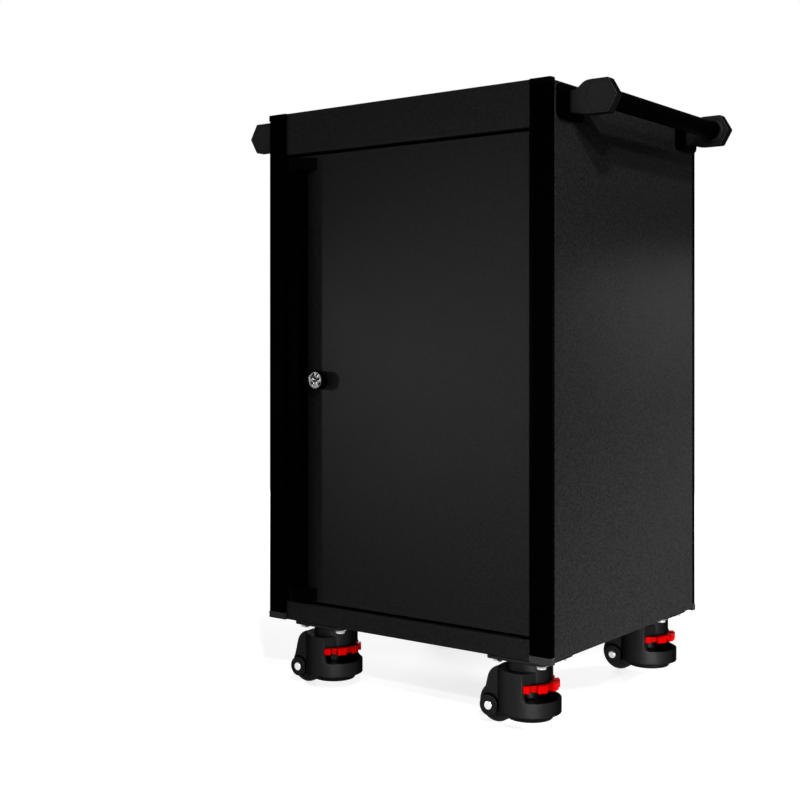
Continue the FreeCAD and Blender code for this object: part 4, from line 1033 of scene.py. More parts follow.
@dataclass
class Door:
    """The door with its pull.

    Attributes:
        half_width: Half the door's width.
        span: Bottom and top of the door.
        face: Distance from the middle to the door's face.
        back: Distance to its back.
        skin: Thickness of the outer sheet.
        liner: Thickness of the inner sheet.
        lip: How far the inner sheet stands past the skin at the top and bottom.
        edge: Radius round the door's face.
        corner: Smallest radius at the skin's corners.
        field_x: Left and right edge of the field pressed into the inner sheet.
        field_inset: Distance from the door's ends to that field.
        field_depth: How deep it is pressed.
        field_flank: Width of the slope round it.
        pull_span: Bottom and top of the pull's bar between its end caps.
        pull_edges: Left edge of the pull's base, left edge of its flange, and its right face.
        pull_front: Distance from the middle to the pull's flange.
        pull_radii: Radii of the corners of the pull's section, from the base's left one round by the front.
        wall: Thickness of the pull.
        finger_lip: Depth of the lip behind the flange's left edge.
        base_lip: Width of the strip at the foot of the pull's right face.
        cap_heights: Bottom and top of the two end caps.
        cap_ramp: Length of an end cap's ramp, and its thickness at the toe.
        cap_proud: How far an end cap stands in front of the flange.
        cap_radii: Radii of the corners of its section.
        pivot: Place of the pivots across and along.
        pivot_radii: Radius of a pivot's collar and of its pin.
        pivot_bevels: Bevel on the collar and on the pin.
        pivot_heights: Height of each pivot's foot, of its collar's end and of its pin's end.
    """

    half_width: float = 266.5
    span: Point2 = (165.0, 999.5)
    face: float = 271.0
    back: float = 251.0
    skin: float = 1.2
    liner: float = 2.0
    lip: float = 2.0
    edge: float = 1.2
    corner: float = 0.15
    field_x: Point2 = (-150.0, 224.5)
    field_inset: float = 42.0
    field_depth: float = 1.2
    field_flank: float = 4.0
    pull_span: Point2 = (189.5, 972.5)
    pull_edges: Point3 = (-266.5, -240.0, -220.0)
    pull_front: float = 294.0
    pull_radii: Row = (0.3, 0.8, 1.0, 0.8, 0.6, 1.1, 1.1, 1.5, 1.5, 0.4, 0.9, 0.2)
    wall: float = 2.5
    finger_lip: float = 6.0
    base_lip: float = 2.0
    cap_heights: tuple[Point2, Point2] = ((167.5, 189.5), (972.5, 994.5))
    cap_ramp: Point2 = (24.0, 0.8)
    cap_proud: float = 1.0
    cap_radii: Row = (0.2, 0.6, 2.5, 2.5, 0.3, 0.2)
    pivot: Point2 = (254.5, -263.0)
    pivot_radii: Point2 = (8.0, 4.0)
    pivot_bevels: Point2 = (0.3, 0.6)
    pivot_heights: tuple[Point3, Point3] = ((160.0, 162.7, 177.0), (1004.5, 1001.8, 987.5))

    def ring(self, inset: float, reach: float) -> list[Point3]:
        """Draw one ring of the outer skin.

        Args:
            inset: How far it lies inside the door's outline.
            reach: Its place along the depth.

        Returns:
            Its points.
        """
        outline = rectangle(about(0.0, self.half_width - inset), (self.span[0] + inset, self.span[1] - inset))
        return Axis.ALONG.ring(rounded(outline, max(self.edge - inset, self.corner), 3), reach)

    def outer_skin(self) -> Form:
        """Draw the outer pan.

        Returns:
            Its form, with a rounded face, open to the back.
        """
        turns = [math.radians(degrees) for degrees in (0.0, 22.5, 45.0, 67.5, 90.0)]
        rings = [self.ring(self.edge * (1 - math.sin(a)), -self.face + self.edge * (1 - math.cos(a))) for a in turns]
        rear = -self.back - self.liner
        rings += [self.ring(0.0, rear), self.ring(self.skin, rear), self.ring(self.skin, -self.face + self.skin)]
        return Form().loft(rings)

    def field_relief(self, x: float, z: float) -> float:
        """Press the field into the inner sheet.

        Args:
            x: Place across.
            z: Height.

        Returns:
            How far the sheet is pressed in there, towards the front.
        """
        left, right = self.field_x
        low, high = self.span[0] + self.field_inset, self.span[1] - self.field_inset
        return -self.field_depth * swell(min(x - left, right - x, z - low, high - z) / self.field_flank)

    def inner_sheet(self) -> Form:
        """Draw the inner sheet.

        Returns:
            Its form, with its pressed field.
        """
        flank = self.field_flank
        steps = range(round(flank) + 1)
        grids = []
        for (low, high), outer in ((self.field_x, about(0.0, self.half_width)),
                                   ((self.span[0] + self.field_inset, self.span[1] - self.field_inset),
                                    (self.span[0] - self.lip, self.span[1] + self.lip))):
            grids.append([outer[0]] + [low + s for s in steps] + [high - flank + s for s in steps] + [outer[1]])
        return pressed_sheet(*grids, -self.back, -self.liner, self.field_relief)

    def pull(self) -> Form:
        """Draw the full-height pull.

        Returns:
            Its form: base strip, web, front flange and finger lip.
        """
        base, left, right = self.pull_edges
        w, lip = self.wall, self.finger_lip
        face, front = -self.face, -self.pull_front
        corners = [(base, face), (base, face - w), (right - w, face - w), (right - w, front + w), (left + w, front + w),
                   (left + w, front + lip), (left, front + lip), (left, front), (right, front), (right, face - w),
                   (right + self.base_lip, face - w), (right + self.base_lip, face)]
        return Form().prism(rounded(corners, self.pull_radii), Axis.UP, *self.pull_span)

    def pull_cap(self, low: float, high: float) -> Form:
        """Draw an end cap of the pull.

        Args:
            low: Its bottom.
            high: Its top.

        Returns:
            Its form, with a ramp down to the door.
        """
        base, left, right = self.pull_edges
        front, face = -self.pull_front - self.cap_proud, -self.face
        ramp, toe = self.cap_ramp
        corners = [(base, face), (base, face - self.wall), (left, front), (right, front), (right + ramp, face - toe),
                   (right + ramp, face)]
        return Form().prism(rounded(corners, self.cap_radii), Axis.UP, low, high).ease(0.8, 2, 60)

    def pivot_pin(self, foot: float, shoulder: float, tip: float) -> Form:
        """Turn a pivot.

        Args:
            foot: Height of the frame's face that it stands on.
            shoulder: Height of its collar's end.
            tip: Height of its pin's end.

        Returns:
            Its form.
        """
        way = math.copysign(1.0, tip - foot)
        profile = [(self.pivot_radii[0], foot)]
        for radius, bevel, end in zip(self.pivot_radii, self.pivot_bevels, (shoulder, tip)):
            profile += [(radius, end - way * bevel), (radius - bevel, end)]
        profile.insert(3, (self.pivot_radii[1], shoulder))
        return Form().turned(profile, Axis.UP, self.pivot, 32)

    def build(self, shop: Paintshop) -> None:
        """Make the door's pieces.

        Args:
            shop: Where the pieces get their finish.
        """
        shop.show("pressed_door_skin", self.outer_skin(), "panel_paint", ["door_skin"], "door")
        shop.show("pressed_door_liner", self.inner_sheet(), "panel_paint", ["door_liner"], "door")
        shop.show("drawn_pull", self.pull(), "post_black", ["door_pull"], "door")
        caps = Form().gather([self.pull_cap(*span) for span in self.cap_heights])
        shop.show("moulded_pull_caps", caps, "cap_plastic", ["pull_end_caps"], "door")
        pins = Form().gather([self.pivot_pin(*heights) for heights in self.pivot_heights])
        # The pivots take the dark screw finish as painted shade, so that they read as part of the dark gap round the
        # door.
        shop.show("turned_pivots", pins, "dark_screw", ["hinge_pivots"])


@dataclass
class Lock:
    """The round lock on the door.

    Attributes:
        centre: The lock's place across and its height.
        door_face: Distance from the middle to the door's face.
        rim: Radius of the barrel.
        rim_profile: The barrel's side from its front back to its waist, as step from the rim and depth.
        mouth: The edge of the bore that holds the plug's face, likewise, from the plug's radius.
        proud: How far the barrel stands in front of the door.
        thread: Radius of the threaded body, and depth and pitch of its thread.
        turns: How many turns the thread has, and where behind the door's face it starts.
        thread_end: The body's rear edge, as step from its radius and depth.
        tail: How far the body reaches behind the door's face.
        face: Radius and thickness of the plug's face.
        play: Gap between the plug and the barrel.
        recess: How far the plug's face lies inside the rim.
        spindle: Radii of the spindle and of the stud behind it.
        spindle_ends: Distance from the middle to the spindle's end and to the stud's end.
        spindle_bevels: Bevel on the spindle's end and on the stud's end.
        plate: Thickness of the plug's face plate.
        plate_edge: The plate's edge, as step from its radius and depth.
        dimple: Radius of the plug's flat middle.
        groove_half: Half the width of the keyway and grooves.
        groove_round: Radius of their corners as a share of that.
        groove_reach: How far their cutters reach past the plate's front and back.
        grooves: Their paths on the face, from its centre.
    """

    centre: Point2 = (-187.0, 580.0)
    door_face: float = 271.0
    rim: float = 17.0
    rim_profile: Outline = ((-0.6, 0.0), (-0.2, 0.2), (0.0, 0.8), (0.0, 5.5), (-0.7, 6.2), (-0.7, 7.4), (0.0, 8.1))
    mouth: Outline = ((0.0, 0.5), (0.2, 0.1), (0.4, 0.0))
    proud: float = 17.5
    thread: Point3 = (11.0, 0.5, 1.5)
    turns: tuple[int, float] = (20, 1.0)
    thread_end: Outline = ((-0.5, -0.2), (-0.7, 0.0))
    tail: float = 31.0
    face: Point2 = (15.5, 4.0)
    play: float = 0.1
    recess: float = 0.8
    spindle: Point2 = (7.0, 3.5)
    spindle_ends: Point2 = (236.5, 232.5)
    spindle_bevels: Point2 = (0.5, 0.4)
    plate: float = 1.0
    plate_edge: Outline = ((-0.9, 0.0), (-0.3, 0.2), (0.0, 0.6))
    dimple: float = 2.0
    groove_half: float = 1.9
    groove_round: float = 0.6
    groove_reach: Point2 = (1.0, 0.6)
    grooves: tuple[Outline, ...] = (
        ((-2.2, 13.2), (-4.4, 10.0), (-6.6, 6.8), (-10.6, 3.2)),
        ((-5.4, 5.9), (-2.4, 5.2), (0.6, 3.4), (4.6, 0.2), (7.6, 1.4), (11.0, 4.2)),
        ((3.8, 7.8), (5.4, 9.6), (7.0, 11.2)),
        ((-4.6, -1.0), (-1.6, -1.2), (1.6, -2.8), (2.4, -4.2)),
        ((-9.8, -3.4), (-7.4, -5.8), (-4.2, -7.6)),
        ((12.4, -4.2), (10.6, -6.6), (8.2, -8.8)),
    )

    @property
    def front(self) -> float:
        """Place of the barrel's front along the depth."""
        return -self.door_face - self.proud

    def barrel(self) -> Form:
        """Turn the barrel.

        Returns:
            Its form: bevelled rim, waisted side, thread and bore.
        """
        seat, back = -self.door_face, -self.door_face + self.tail
        radius, bore, floor = self.face[0] + self.play, self.spindle[0] + self.play, self.recess + self.face[1]
        thread, groove, pitch = self.thread
        profile = [(radius, self.front + floor), *shifted(self.mouth, self.front, radius=radius),
                   *shifted(self.rim_profile, self.front, radius=self.rim), (self.rim, seat), (thread, seat)]
        for turn in range(self.turns[0]):
            reach = seat + self.turns[1] + turn * pitch
            profile += [(thread - groove, reach), (thread, reach + pitch / 2)]
        profile += [*shifted(self.thread_end, back, radius=thread), (bore, back), (bore, self.front + floor)]
        return Form().turned(profile, Axis.ALONG, self.centre, 64, True)

    def plug(self) -> Form:
        """Turn the plug's dark core.

        Returns:
            Its form with the spindle, set back behind the face plate.
        """
        front = self.front + self.recess + self.plate
        radius, back = self.face[0], self.front + self.recess + self.face[1] - self.play
        (core, stud), (wide, narrow) = self.spindle, self.spindle_bevels
        core_end, stud_end = (-end for end in self.spindle_ends)
        profile = [(self.dimple, front), (radius, front), (radius, back), (core, back), (core, core_end - wide),
                   (core - wide, core_end), (stud, core_end), (stud, stud_end - narrow), (stud - narrow, stud_end)]
        return Form().turned(profile, Axis.ALONG, self.centre, 64)

    def groove(self, path: Outline, front: float) -> Form:
        """Draw a cutter for a round-ended groove.

        Args:
            path: The groove's path on the plug's face.
            front: Place of that face along the depth.

        Returns:
            The cutter's form.
        """
        sides: dict[int, list[Point2]] = {1: [], -1: []}
        for k, spot in enumerate(path):
            heading = Vector(path[min(k + 1, len(path) - 1)]) - Vector(path[max(k - 1, 0)])
            step = Vector((-heading.y, heading.x)).normalized() * self.groove_half
            for side in (1, -1):
                sides[side].append((self.centre[0] + spot[0] + step.x * side, self.centre[1] + spot[1] + step.y * side))
        outline = rounded(sides[1] + sides[-1][::-1], self.groove_half * self.groove_round, 3)
        ahead, behind = self.groove_reach
        return Form().prism(outline, Axis.ALONG, front - ahead, front + self.plate + behind)

    def face_plate(self) -> Form:
        """Cut the plug's bright face plate.

        Returns:
            Its form, open along the keyway and the index grooves.
        """
        front, radius = self.front + self.recess, self.face[0]
        profile = [(self.dimple, front), *shifted(self.plate_edge, front, radius=radius),
                   (radius, front + self.plate + PLAY)]
        cuts = [self.groove(path, front) for path in self.grooves]
        return Form().turned(profile, Axis.ALONG, self.centre, 64).worked(cuts, Blend.CUT)

    def build(self, shop: Paintshop) -> None:
        """Make the barrel and the plug.

        Args:
            shop: Where the pieces get their finish.
        """
        shop.show("turned_lock_barrel", self.barrel(), "lock_black", ["lock_barrel"], "door")
        # The plug's core takes the black lock finish as painted shade, so that the keyway and grooves cut through the
        # face plate read dark.
        shop.show("turned_lock_plug", self.plug(), "lock_face", ["lock_plug"], "lock", "lock_black")
        shop.show("keyed_face_plate", self.face_plate(), "lock_face", ["lock_plug"], "lock")


@dataclass
class PushHandles:
    """The two push handles.

    Attributes:
        wall: Distance from the middle to the side panel.
        out: Distance from the middle to the tube's axis.
        height: Height of the tube's axis.
        middle_y: Middle of the handle along the depth.
        spacing: Distance between its two brackets.
        tube: Radius and wall of the tube.
        tube_edge: Bevel on the tube's ends.
        flange: Length, height and thickness of a bracket's flange.
        flange_top: Height of the flange's upper edge.
        flange_edges: Radius of the flange's corners and of its rim, and the bevel at its foot.
        arm: Thickness of the arm, and its height at the root.
        buried: How far the arm runs into the flange.
        tip: Radius of the hexagonal end's corners.
        sweep: How far the arm's curve leaves level, as a share of its length.
        hexagon: Width across the flats of the end, and of the field sunk in it.
        sink: The sunk field's side, as step from its corners and height over the arm's face.
        collar: The socket's collar, as radius and distance from the arm's inner face.
        hole: How far the socket's bore starts in front of that face, and how far it runs into the arm.
        screw_half: Half the distance between a bracket's screws.
        screw_sink: Radius and depth of the screws' seats.
        head: Outline of a screw's head from its foot into its socket, as radius and height in the seat.
    """

    wall: float = 311.0
    out: float = 373.0
    height: float = 1052.5
    middle_y: float = 3.5
    spacing: float = 447.0
    tube: Point2 = (16.5, 2.0)
    tube_edge: float = 0.5
    flange: Point3 = (83.0, 57.0, 8.5)
    flange_top: float = 1076.0
    flange_edges: Point3 = (10.0, 4.0, 0.5)
    arm: Point2 = (20.0, 38.0)
    buried: float = 3.0
    tip: float = 4.0
    sweep: float = 0.55
    hexagon: Point2 = (56.96, 48.6)
    sink: Outline = ((3.4, 1.0), (2.4, 0.0), (0.0, -2.2))
    collar: Outline = ((22.0, -2.0), (22.0, 4.6), (21.6, 5.6), (20.6, 6.0))
    hole: Point2 = (7.0, 8.0)
    screw_half: float = 30.0
    screw_sink: Point2 = (5.05, 5.0)
    head: Outline = ((4.8, 0.0), (5.0, 0.3), (5.0, 3.2), (4.6, 4.0), (3.9, 4.2), (2.8, 4.2), (2.5, 3.9), (2.4, 1.6))

    @property
    def axis(self) -> Point2:
        """Place of the tube's axis across and up."""
        return (self.out, self.height)

    @property
    def flange_middle(self) -> float:
        """Height of the flange's middle."""
        return self.flange_top - self.flange[1] / 2

    def bracket(self, end: int) -> float:
        """Place of the front bracket for -1, or of the rear one for 1."""
        return self.middle_y + end * self.spacing / 2

    def bend(self, start: Point2, end: Point2, steps: int = 10) -> list[Point2]:
        """Draw an S-curve that leaves and arrives level.

        Args:
            start: Its first point.
            end: Its last point.
            steps: How many facets it has.

        Returns:
            The curve's points.
        """
        pull = Vector(((end[0] - start[0]) * self.sweep, 0.0))
        a, d = Vector(start), Vector(end)
        b, c = a + pull, d - pull
        spots = []
        for k in range(steps + 1):
            t = k / steps
            spot = a * (1 - t) ** 3 + b * 3 * t * (1 - t) ** 2 + c * 3 * t * t * (1 - t) + d * t ** 3
            spots.append((spot.x, spot.y))
        return spots

    def arm_outline(self) -> list[Point2]:
        """Draw the arm's side.

        Returns:
            Its outline, swelling from the flange to the hexagonal end.
        """
        root = self.wall + self.flange[2]
        low, high = about(self.flange_middle, self.arm[1] / 2)
        apothem = self.hexagon[0] / 2
        corner = apothem / math.sqrt(3)
        near, far = about(self.out, corner)
        bottom, top = about(self.height, apothem)
        tip = rounded([(near, top), (far, top), (self.out + 2 * corner, self.height), (far, bottom), (near, bottom)],
                      (0, self.tip, self.tip, self.tip, 0))[1:-1]
        upper, lower = self.bend((root, high), (near, top)), self.bend((near, bottom), (root, low))
        return [(root - self.buried, high), *upper, *tip, *lower, (root - self.buried, low)]

    def flange_plate(self, y: float) -> Form:
        """Draw a bracket's flange.

        Args:
            y: Its place along the depth.

        Returns:
            Its form, with soft edges.
        """
        length, tall, thick = self.flange
        corner, soft, foot = self.flange_edges
        stages = [(foot, 0.0), (0.0, foot), (0.0, thick - soft)]
        for a in map(math.radians, (18, 36, 54, 72, 90)):
            stages.append((soft * (1 - math.cos(a)), thick - soft + soft * math.sin(a)))
        rings = []
        for inset, reach in stages:
            outline = rectangle(about(y, length / 2 - inset), about(self.flange_middle, tall / 2 - inset))
            rings.append(Axis.ACROSS.ring(rounded(outline, corner - inset, 6), self.wall + reach))
        return Form().loft(rings)

    def arm_form(self, end: int) -> Form:
        """Draw a right-hand bracket's arm.

        Args:
            end: -1 for the front bracket, 1 for the rear one.

        Returns:
            Its form, with its sunk hexagon and socket.
        """
        y, half = self.bracket(end), self.arm[0] / 2
        outer, inner = y + end * half, y - end * half
        arm = Form().prism(self.arm_outline(), Axis.ALONG, *about(y, half)).ease(1.2, 3, 50)
        sink = shifted(self.sink, outer, end, self.hexagon[1] / math.sqrt(3))
        mouth, floor = self.hole
        cuts = [Form().turned(sink, Axis.ALONG, self.axis, 6),
                Form().rod(self.tube[0] + PLAY, Axis.ALONG, (inner - end * mouth, inner + end * floor), self.axis)]
        collar = Form().turned(shifted(self.collar, inner, -end), Axis.ALONG, self.axis)
        return arm.worked([collar], Blend.ADD).worked(cuts, Blend.CUT)

    def flange_form(self, end: int) -> Form:
        """Cut the screw seats into a flange.

        Args:
            end: -1 for the front bracket, 1 for the rear one.

        Returns:
            The right-hand flange's form.
        """
        y, face = self.bracket(end), self.wall + self.flange[2]
        radius, depth = self.screw_sink
        seats = [Form().rod(radius, Axis.ACROSS, (face + 1.0, face - depth), (spot, self.flange_middle), 24)
                 for spot in about(y, self.screw_half)]
        return self.flange_plate(y).worked(seats, Blend.CUT)

    def tube_form(self) -> Form:
        """Turn the right grip tube.

        Returns:
            Its form, with eased ends, reaching into both sockets.
        """
        low, high = about(self.middle_y, self.spacing / 2 - self.arm[0] / 2 + self.hole[1] - 2 * PLAY)
        (r, wall), edge = self.tube, self.tube_edge
        profile = [(r - wall, low), (r - edge, low), (r, low + edge), (r, high - edge), (r - edge, high),
                   (r - wall, high)]
        return Form().turned(profile, Axis.ALONG, self.axis, 64, True)

    def screws(self) -> Form:
        """Turn the right handle's socket screws.

        Returns:
            The form of all four.
        """
        head = shifted(self.head, self.wall + self.flange[2] - self.screw_sink[1])
        spots = [spot for end in (-1, 1) for spot in about(self.bracket(end), self.screw_half)]
        return Form().gather([Form().turned(head, Axis.ACROSS, (y, self.flange_middle), 24) for y in spots])

    def build(self, shop: Paintshop) -> None:
        """Make both handles.

        Args:
            shop: Where the pieces get their finish.
        """
        arms = Form().gather([self.arm_form(end) for end in (-1, 1)])
        flanges = Form().gather([self.flange_form(end) for end in (-1, 1)])
        for side, sign in (("right", 1), ("left", -1)):
            node = ["handle_brackets_" + side]
            shop.show("cast_arms_" + side, arms.copied().mirrored(sign), "bracket_black", node)
            # The flanges take the near-black copy of the bracket finish, painted shade.
            shop.show("cast_flanges_" + side, flanges.copied().mirrored(sign), "bracket_black", node,
                      coat="flange_painted_shade")
            shop.show("grip_tube_" + side, self.tube_form().mirrored(sign), "tube_black", ["handle_tube_" + side])
        screws = self.screws()
        shop.show("handle_socket_screws", screws.gather([screws.copied().mirrored(-1)]), "dark_screw",
                  ["handle_screws"])


@dataclass
class LevellingCasters:
    """The four levelling casters, drawn round the swivel axis with the wheel to the left.

    Attributes:
        right_x: Place of the right casters' swivel axis.
        left_x: Place of the left casters' swivel axis.
        half_y: Distance of the swivel axes from the middle.
        trail: Distance from the swivel axis to the wheel's axle.
        cheek: Half the distance over the cheeks.
        seam_x: Place of the seam between the cheeks and the cup.
        seam: The seam's section, as step from that place and height over the cheek.
        seam_span: Bottom and top of the seam's cutter.
        boss_radius: Radius of the axle bosses.
        boss_groove: Section of the groove round a boss, as step from its radius and height over the cheek.
        wheel: Radius of the wheel.
        wheel_side: The wheel's section from the middle of its tread to its bore, as radius and distance.
        rib: Inner and outer end, half depth and half thickness of a rib between rim and hub.
        ribs: How many ribs the wheel has.
        boss: Half the distance over the axle bosses.
        axle_head: An axle head from its middle to its rim, as radius and height over the boss.
        plate: Length, width and thickness of the top plate.
        plate_corner: Radius of its corners.
        plate_bottom: Height of its underside.
        pin: The king pin's side from its end up, as radius and height over the underside.
        bolts: Place of the bolts about the swivel axis.
        bolt: Width across the flats and height of a bolt's head.
        bolt_crown: Radius of the flat on a bolt's head as a share of the hexagon's, and the angle of its chamfer.
        bolt_dish: Radius of the dished middle as a share of that flat's, and its depth.
        washer: A washer's outline, as radius and height over the plate's underside.
        thumb: Bottom and top of the thumbwheel.
        thumb_radius: Radius over the thumbwheel's teeth.
        thumb_hub: Radius of its hub.
        disc: The edge of its disc, as step from the teeth's root and distance from the bottom or top.
        teeth: How many teeth it has.
        tooth: Width of a tooth in degrees, and its height.
        tooth_root: How far a tooth runs into the disc.
        first_tooth: Turn of the first tooth in degrees.
        pad_foot: Height of the foot's pad.
        pad: The pad's section, as radius and height over its foot.
        sole_hub: The sole's section round the middle, likewise.
        sole_groove: Section of one groove in the sole.
        sole_grooves: Where the first groove starts, the step to the next, and how many there are.
        sole_edge: The sole's section at its edge.
        notch: Outer end, inner end and half width of the notch beside the wheel.
        sole_inset: How much wider the notch in the sole is.
        stem: Radius of the foot's stem, and how far its flat lies from the axis.
        stem_span: Bottom and top of the stem.
        thread: Pitch and depth of its thread.
        thread_end: How far the thread tapers in at the top, and over which height.
    """

    right_x: float = 238.0
    left_x: float = -194.0
    half_y: float = 223.0
    trail: float = 62.0
    cheek: float = 30.0
    seam_x: float = -44.3
    seam: Outline = ((-1.4, 4.0), (-0.56, -6.0), (0.56, -6.0), (1.4, 4.0))
    seam_span: Point2 = (20.0, 110.0)
    boss_radius: float = 18.0
    boss_groove: Outline = ((0.0, 0.6), (0.0, -3.0), (1.4, -3.0), (2.4, 4.0))
    wheel: float = 33.5
    wheel_side: Outline = ((33.5, 0.0), (33.5, 6.0), (33.1, 8.4), (32.0, 10.5), (29.9, 11.7), (28.3, 12.0),
                           (24.6, 12.0), (24.0, 11.4), (23.4, 9.0), (12.6, 9.0), (12.0, 9.6), (12.0, 12.8),
                           (11.6, 13.2), (5.05, 13.2))
    rib: Row = (11.0, 24.4, 11.2, 1.4)
    ribs: int = 8
    boss: float = 34.5
    axle_head: Outline = ((0.9, 1.9), (1.6, 2.45), (3.4, 2.5), (5.4, 2.2), (6.8, 1.6), (7.4, 0.9), (7.5, 0.3),
                          (7.3, 0.0), (5.0, 0.0))
    plate: Point3 = (114.3, 101.6, 5.5)
    plate_corner: float = 9.0
    plate_bottom: float = 118.5
    pin: Outline = ((14.0, -14.0), (15.0, -13.0), (15.0, 0.0))
    bolts: Point2 = (43.0, 34.0)
    bolt: Point2 = (15.0, 5.2)
    bolt_crown: Point2 = (0.97, 32.0)
    bolt_dish: Point2 = (0.8, 0.15)
    washer: Outline = ((5.0, 0.0), (10.7, 0.0), (11.0, -0.3), (11.0, -1.7), (10.7, -2.0), (5.0, -2.0))
    thumb: Point2 = (68.5, 81.0)
    thumb_radius: float = 50.8
    thumb_hub: float = 18.0
    disc: Outline = ((-0.6, 1.0), (0.0, 1.6))
    teeth: int = 10
    tooth: Point2 = (20.5, 8.0)
    tooth_root: float = 3.0
    first_tooth: float = 3.0
    pad_foot: float = 17.5
    pad: Outline = ((37.5, 2.5), (39.7, 2.5), (40.5, 3.3), (40.5, 7.2), (39.9, 8.4), (38.7, 9.0), (10.0, 9.0))
    sole_hub: Outline = ((8.0, 1.0), (10.0, 1.0), (10.6, 0.2), (12.0, 0.0))
    sole_groove: Outline = ((2.6, 0.0), (3.0, 0.8), (4.0, 0.8), (4.4, 0.0))
    sole_grooves: tuple[float, float, int] = (14.0, 4.8, 5)
    sole_edge: Outline = ((38.5, 0.0), (38.9, 0.6), (38.9, 2.6))
    notch: Point3 = (-90.0, -26.0, 14.5)
    sole_inset: float = 0.8
    stem: Point2 = (9.0, 7.5)
    stem_span: Point2 = (26.0, 100.0)
    thread: Point2 = (2.5, 0.9)
    thread_end: Point2 = (0.8, 1.5)

    @property
    def axle_spot(self) -> Point2:
        """Place of the wheel's axle across and up."""
        return (-self.trail, self.wheel)

    def place(self, corner: Corner) -> Point3:
        """Where a caster's swivel axis stands."""
        return (self.right_x if corner.across > 0 else self.left_x, corner.along * self.half_y, 0.0)

    def housing(self) -> Form:
        """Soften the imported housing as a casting.

        Returns:
            Its form, with a seam along each cheek, a groove round each boss and soft edges.
        """
        form = Form()
        form.bm.from_mesh(frame["nodes"]["caster_housing_right_front"].data)
        bmesh.ops.remove_doubles(form.bm, verts=form.bm.verts, dist=1e-6)
        form.sized(1 / MM, 1 / MM, 1 / MM).moved(-self.right_x, self.half_y - DEPTH_SHIFT)
        cuts = []
        for side in (-1, 1):
            seam = shifted(self.seam, side * self.cheek, side, self.seam_x)
            groove = shifted(self.boss_groove, side * self.cheek, side, self.boss_radius)
            cuts.append(Form().prism(seam, Axis.UP, *self.seam_span))
            cuts.append(Form().turned(groove, Axis.ALONG, self.axle_spot, 64, True))
        return form.worked(cuts, Blend.CUT).cast(0.7, 2, 0.25)

    def tooth_outline(self, middle: float) -> list[Point2]:
        """Draw a tooth of the thumbwheel.

        Args:
            middle: Turn of its middle in degrees.

        Returns:
            Its outline from above.
        """
        width, tall = self.tooth
        outline = []
        for radius, turns in ((self.thumb_radius - tall - self.tooth_root, (-0.5, 0.5)),
                              (self.thumb_radius, (0.5, 0.25, 0.0, -0.25, -0.5))):
            for a in (math.radians(middle + share * width) for share in turns):
                outline.append((radius * math.cos(a), radius * math.sin(a)))
        return outline

    def thumbwheel(self) -> Form:
        """Draw the thumbwheel.

        Returns:
            Its form: a disc with block teeth, a hub and the stem's bore.
        """
        low, high = self.thumb
        root = self.thumb_radius - self.tooth[1]
        profile = shifted(self.disc, low, 1.0, root) + shifted(self.disc, high, -1.0, root)[::-1]
        parts = [Form().rod(self.thumb_hub, Axis.UP, self.thumb).ease(0.5)]
        for k in range(self.teeth):
            outline = self.tooth_outline(self.first_tooth + 360.0 * k / self.teeth)
            parts.append(Form().prism(outline, Axis.UP, low, high).ease(0.9, 2, 40))
        bore = Form().rod(self.stem[0] + PLAY, Axis.UP, (low - 1, high + 1))
        return Form().turned(profile, Axis.UP, steps=80).worked(parts, Blend.ADD).worked([bore], Blend.CUT)

    def notched(self, profile: Sequence[Point2], inset: float, rise: float) -> Form:
        """Turn a disc of the foot and notch it beside the wheel.

        Args:
            profile: Its section, as radius and height over the pad's foot.
            inset: How much wider than the pad's the notch is.
            rise: Height of the notch's cutter over the pad's foot.

        Returns:
            The disc's form.
        """
        far, near, half = self.notch
        notch = Form().box((far, near + inset), about(0.0, half + inset), (self.pad_foot - 2, self.pad_foot + rise))
        return Form().turned(shifted(profile, self.pad_foot), Axis.UP, steps=72).worked([notch], Blend.CUT)

    def sole(self) -> Form:
        """Draw the rubber sole under the pad.

        Returns:
            Its form, with rings of grooves.
        """
        start, step, count = self.sole_grooves
        rings = [(start + k * step + out, depth) for k in range(count) for out, depth in self.sole_groove]
        return self.notched([*self.sole_hub, *rings, *self.sole_edge], self.sole_inset, 6.0)

    def threaded_stem(self) -> Form:
        """Draw the foot's stem.

        Returns:
            Its form, with its thread and its flat.
        """
        (low, high), (radius, flat) = self.stem_span, self.stem
        (pitch, depth), (taper, end) = self.thread, self.thread_end
        rows = round((high - low) / (pitch / 5))
        rings = []
        for z in (low + (high - low) * row / rows for row in range(rows + 1)):
            cut = taper * max(0.0, 1.0 - (high - z) / end)
            ring = []
            for x, y in circle(1.0, 32):
                phase = (z / pitch - math.atan2(y, x) / (2 * math.pi)) % 1.0
                crest = radius - depth * abs(2 * phase - 1) - cut
                ring.append((min(crest * x, flat), crest * y, z))
            rings.append(ring)
        return Form().loft(rings)

    def tyre(self) -> Form:
        """Turn the wheel.

        Returns:
            Its form: crowned tread, dished sides with ribs, hub and bore.
        """
        profile = [*self.wheel_side] + [(radius, -reach) for radius, reach in self.wheel_side[:0:-1]]
        near, far, depth, half = self.rib
        ribs = [Form().box((near, far), about(0.0, depth), about(0.0, half)).spun(360 / self.ribs * k)
                .moved(-self.trail, 0, self.wheel) for k in range(self.ribs)]
        return Form().turned(profile, Axis.ALONG, self.axle_spot, 72, True).worked(ribs, Blend.ADD)

    def axle(self) -> Form:
        """Turn the axle pin.

        Returns:
            Its form, with domed, centre-punched heads.
        """
        head = shifted(self.axle_head, self.boss)
        profile = [(radius, -reach) for radius, reach in head] + head[::-1]
        return Form().turned(profile, Axis.ALONG, self.axle_spot, 40)

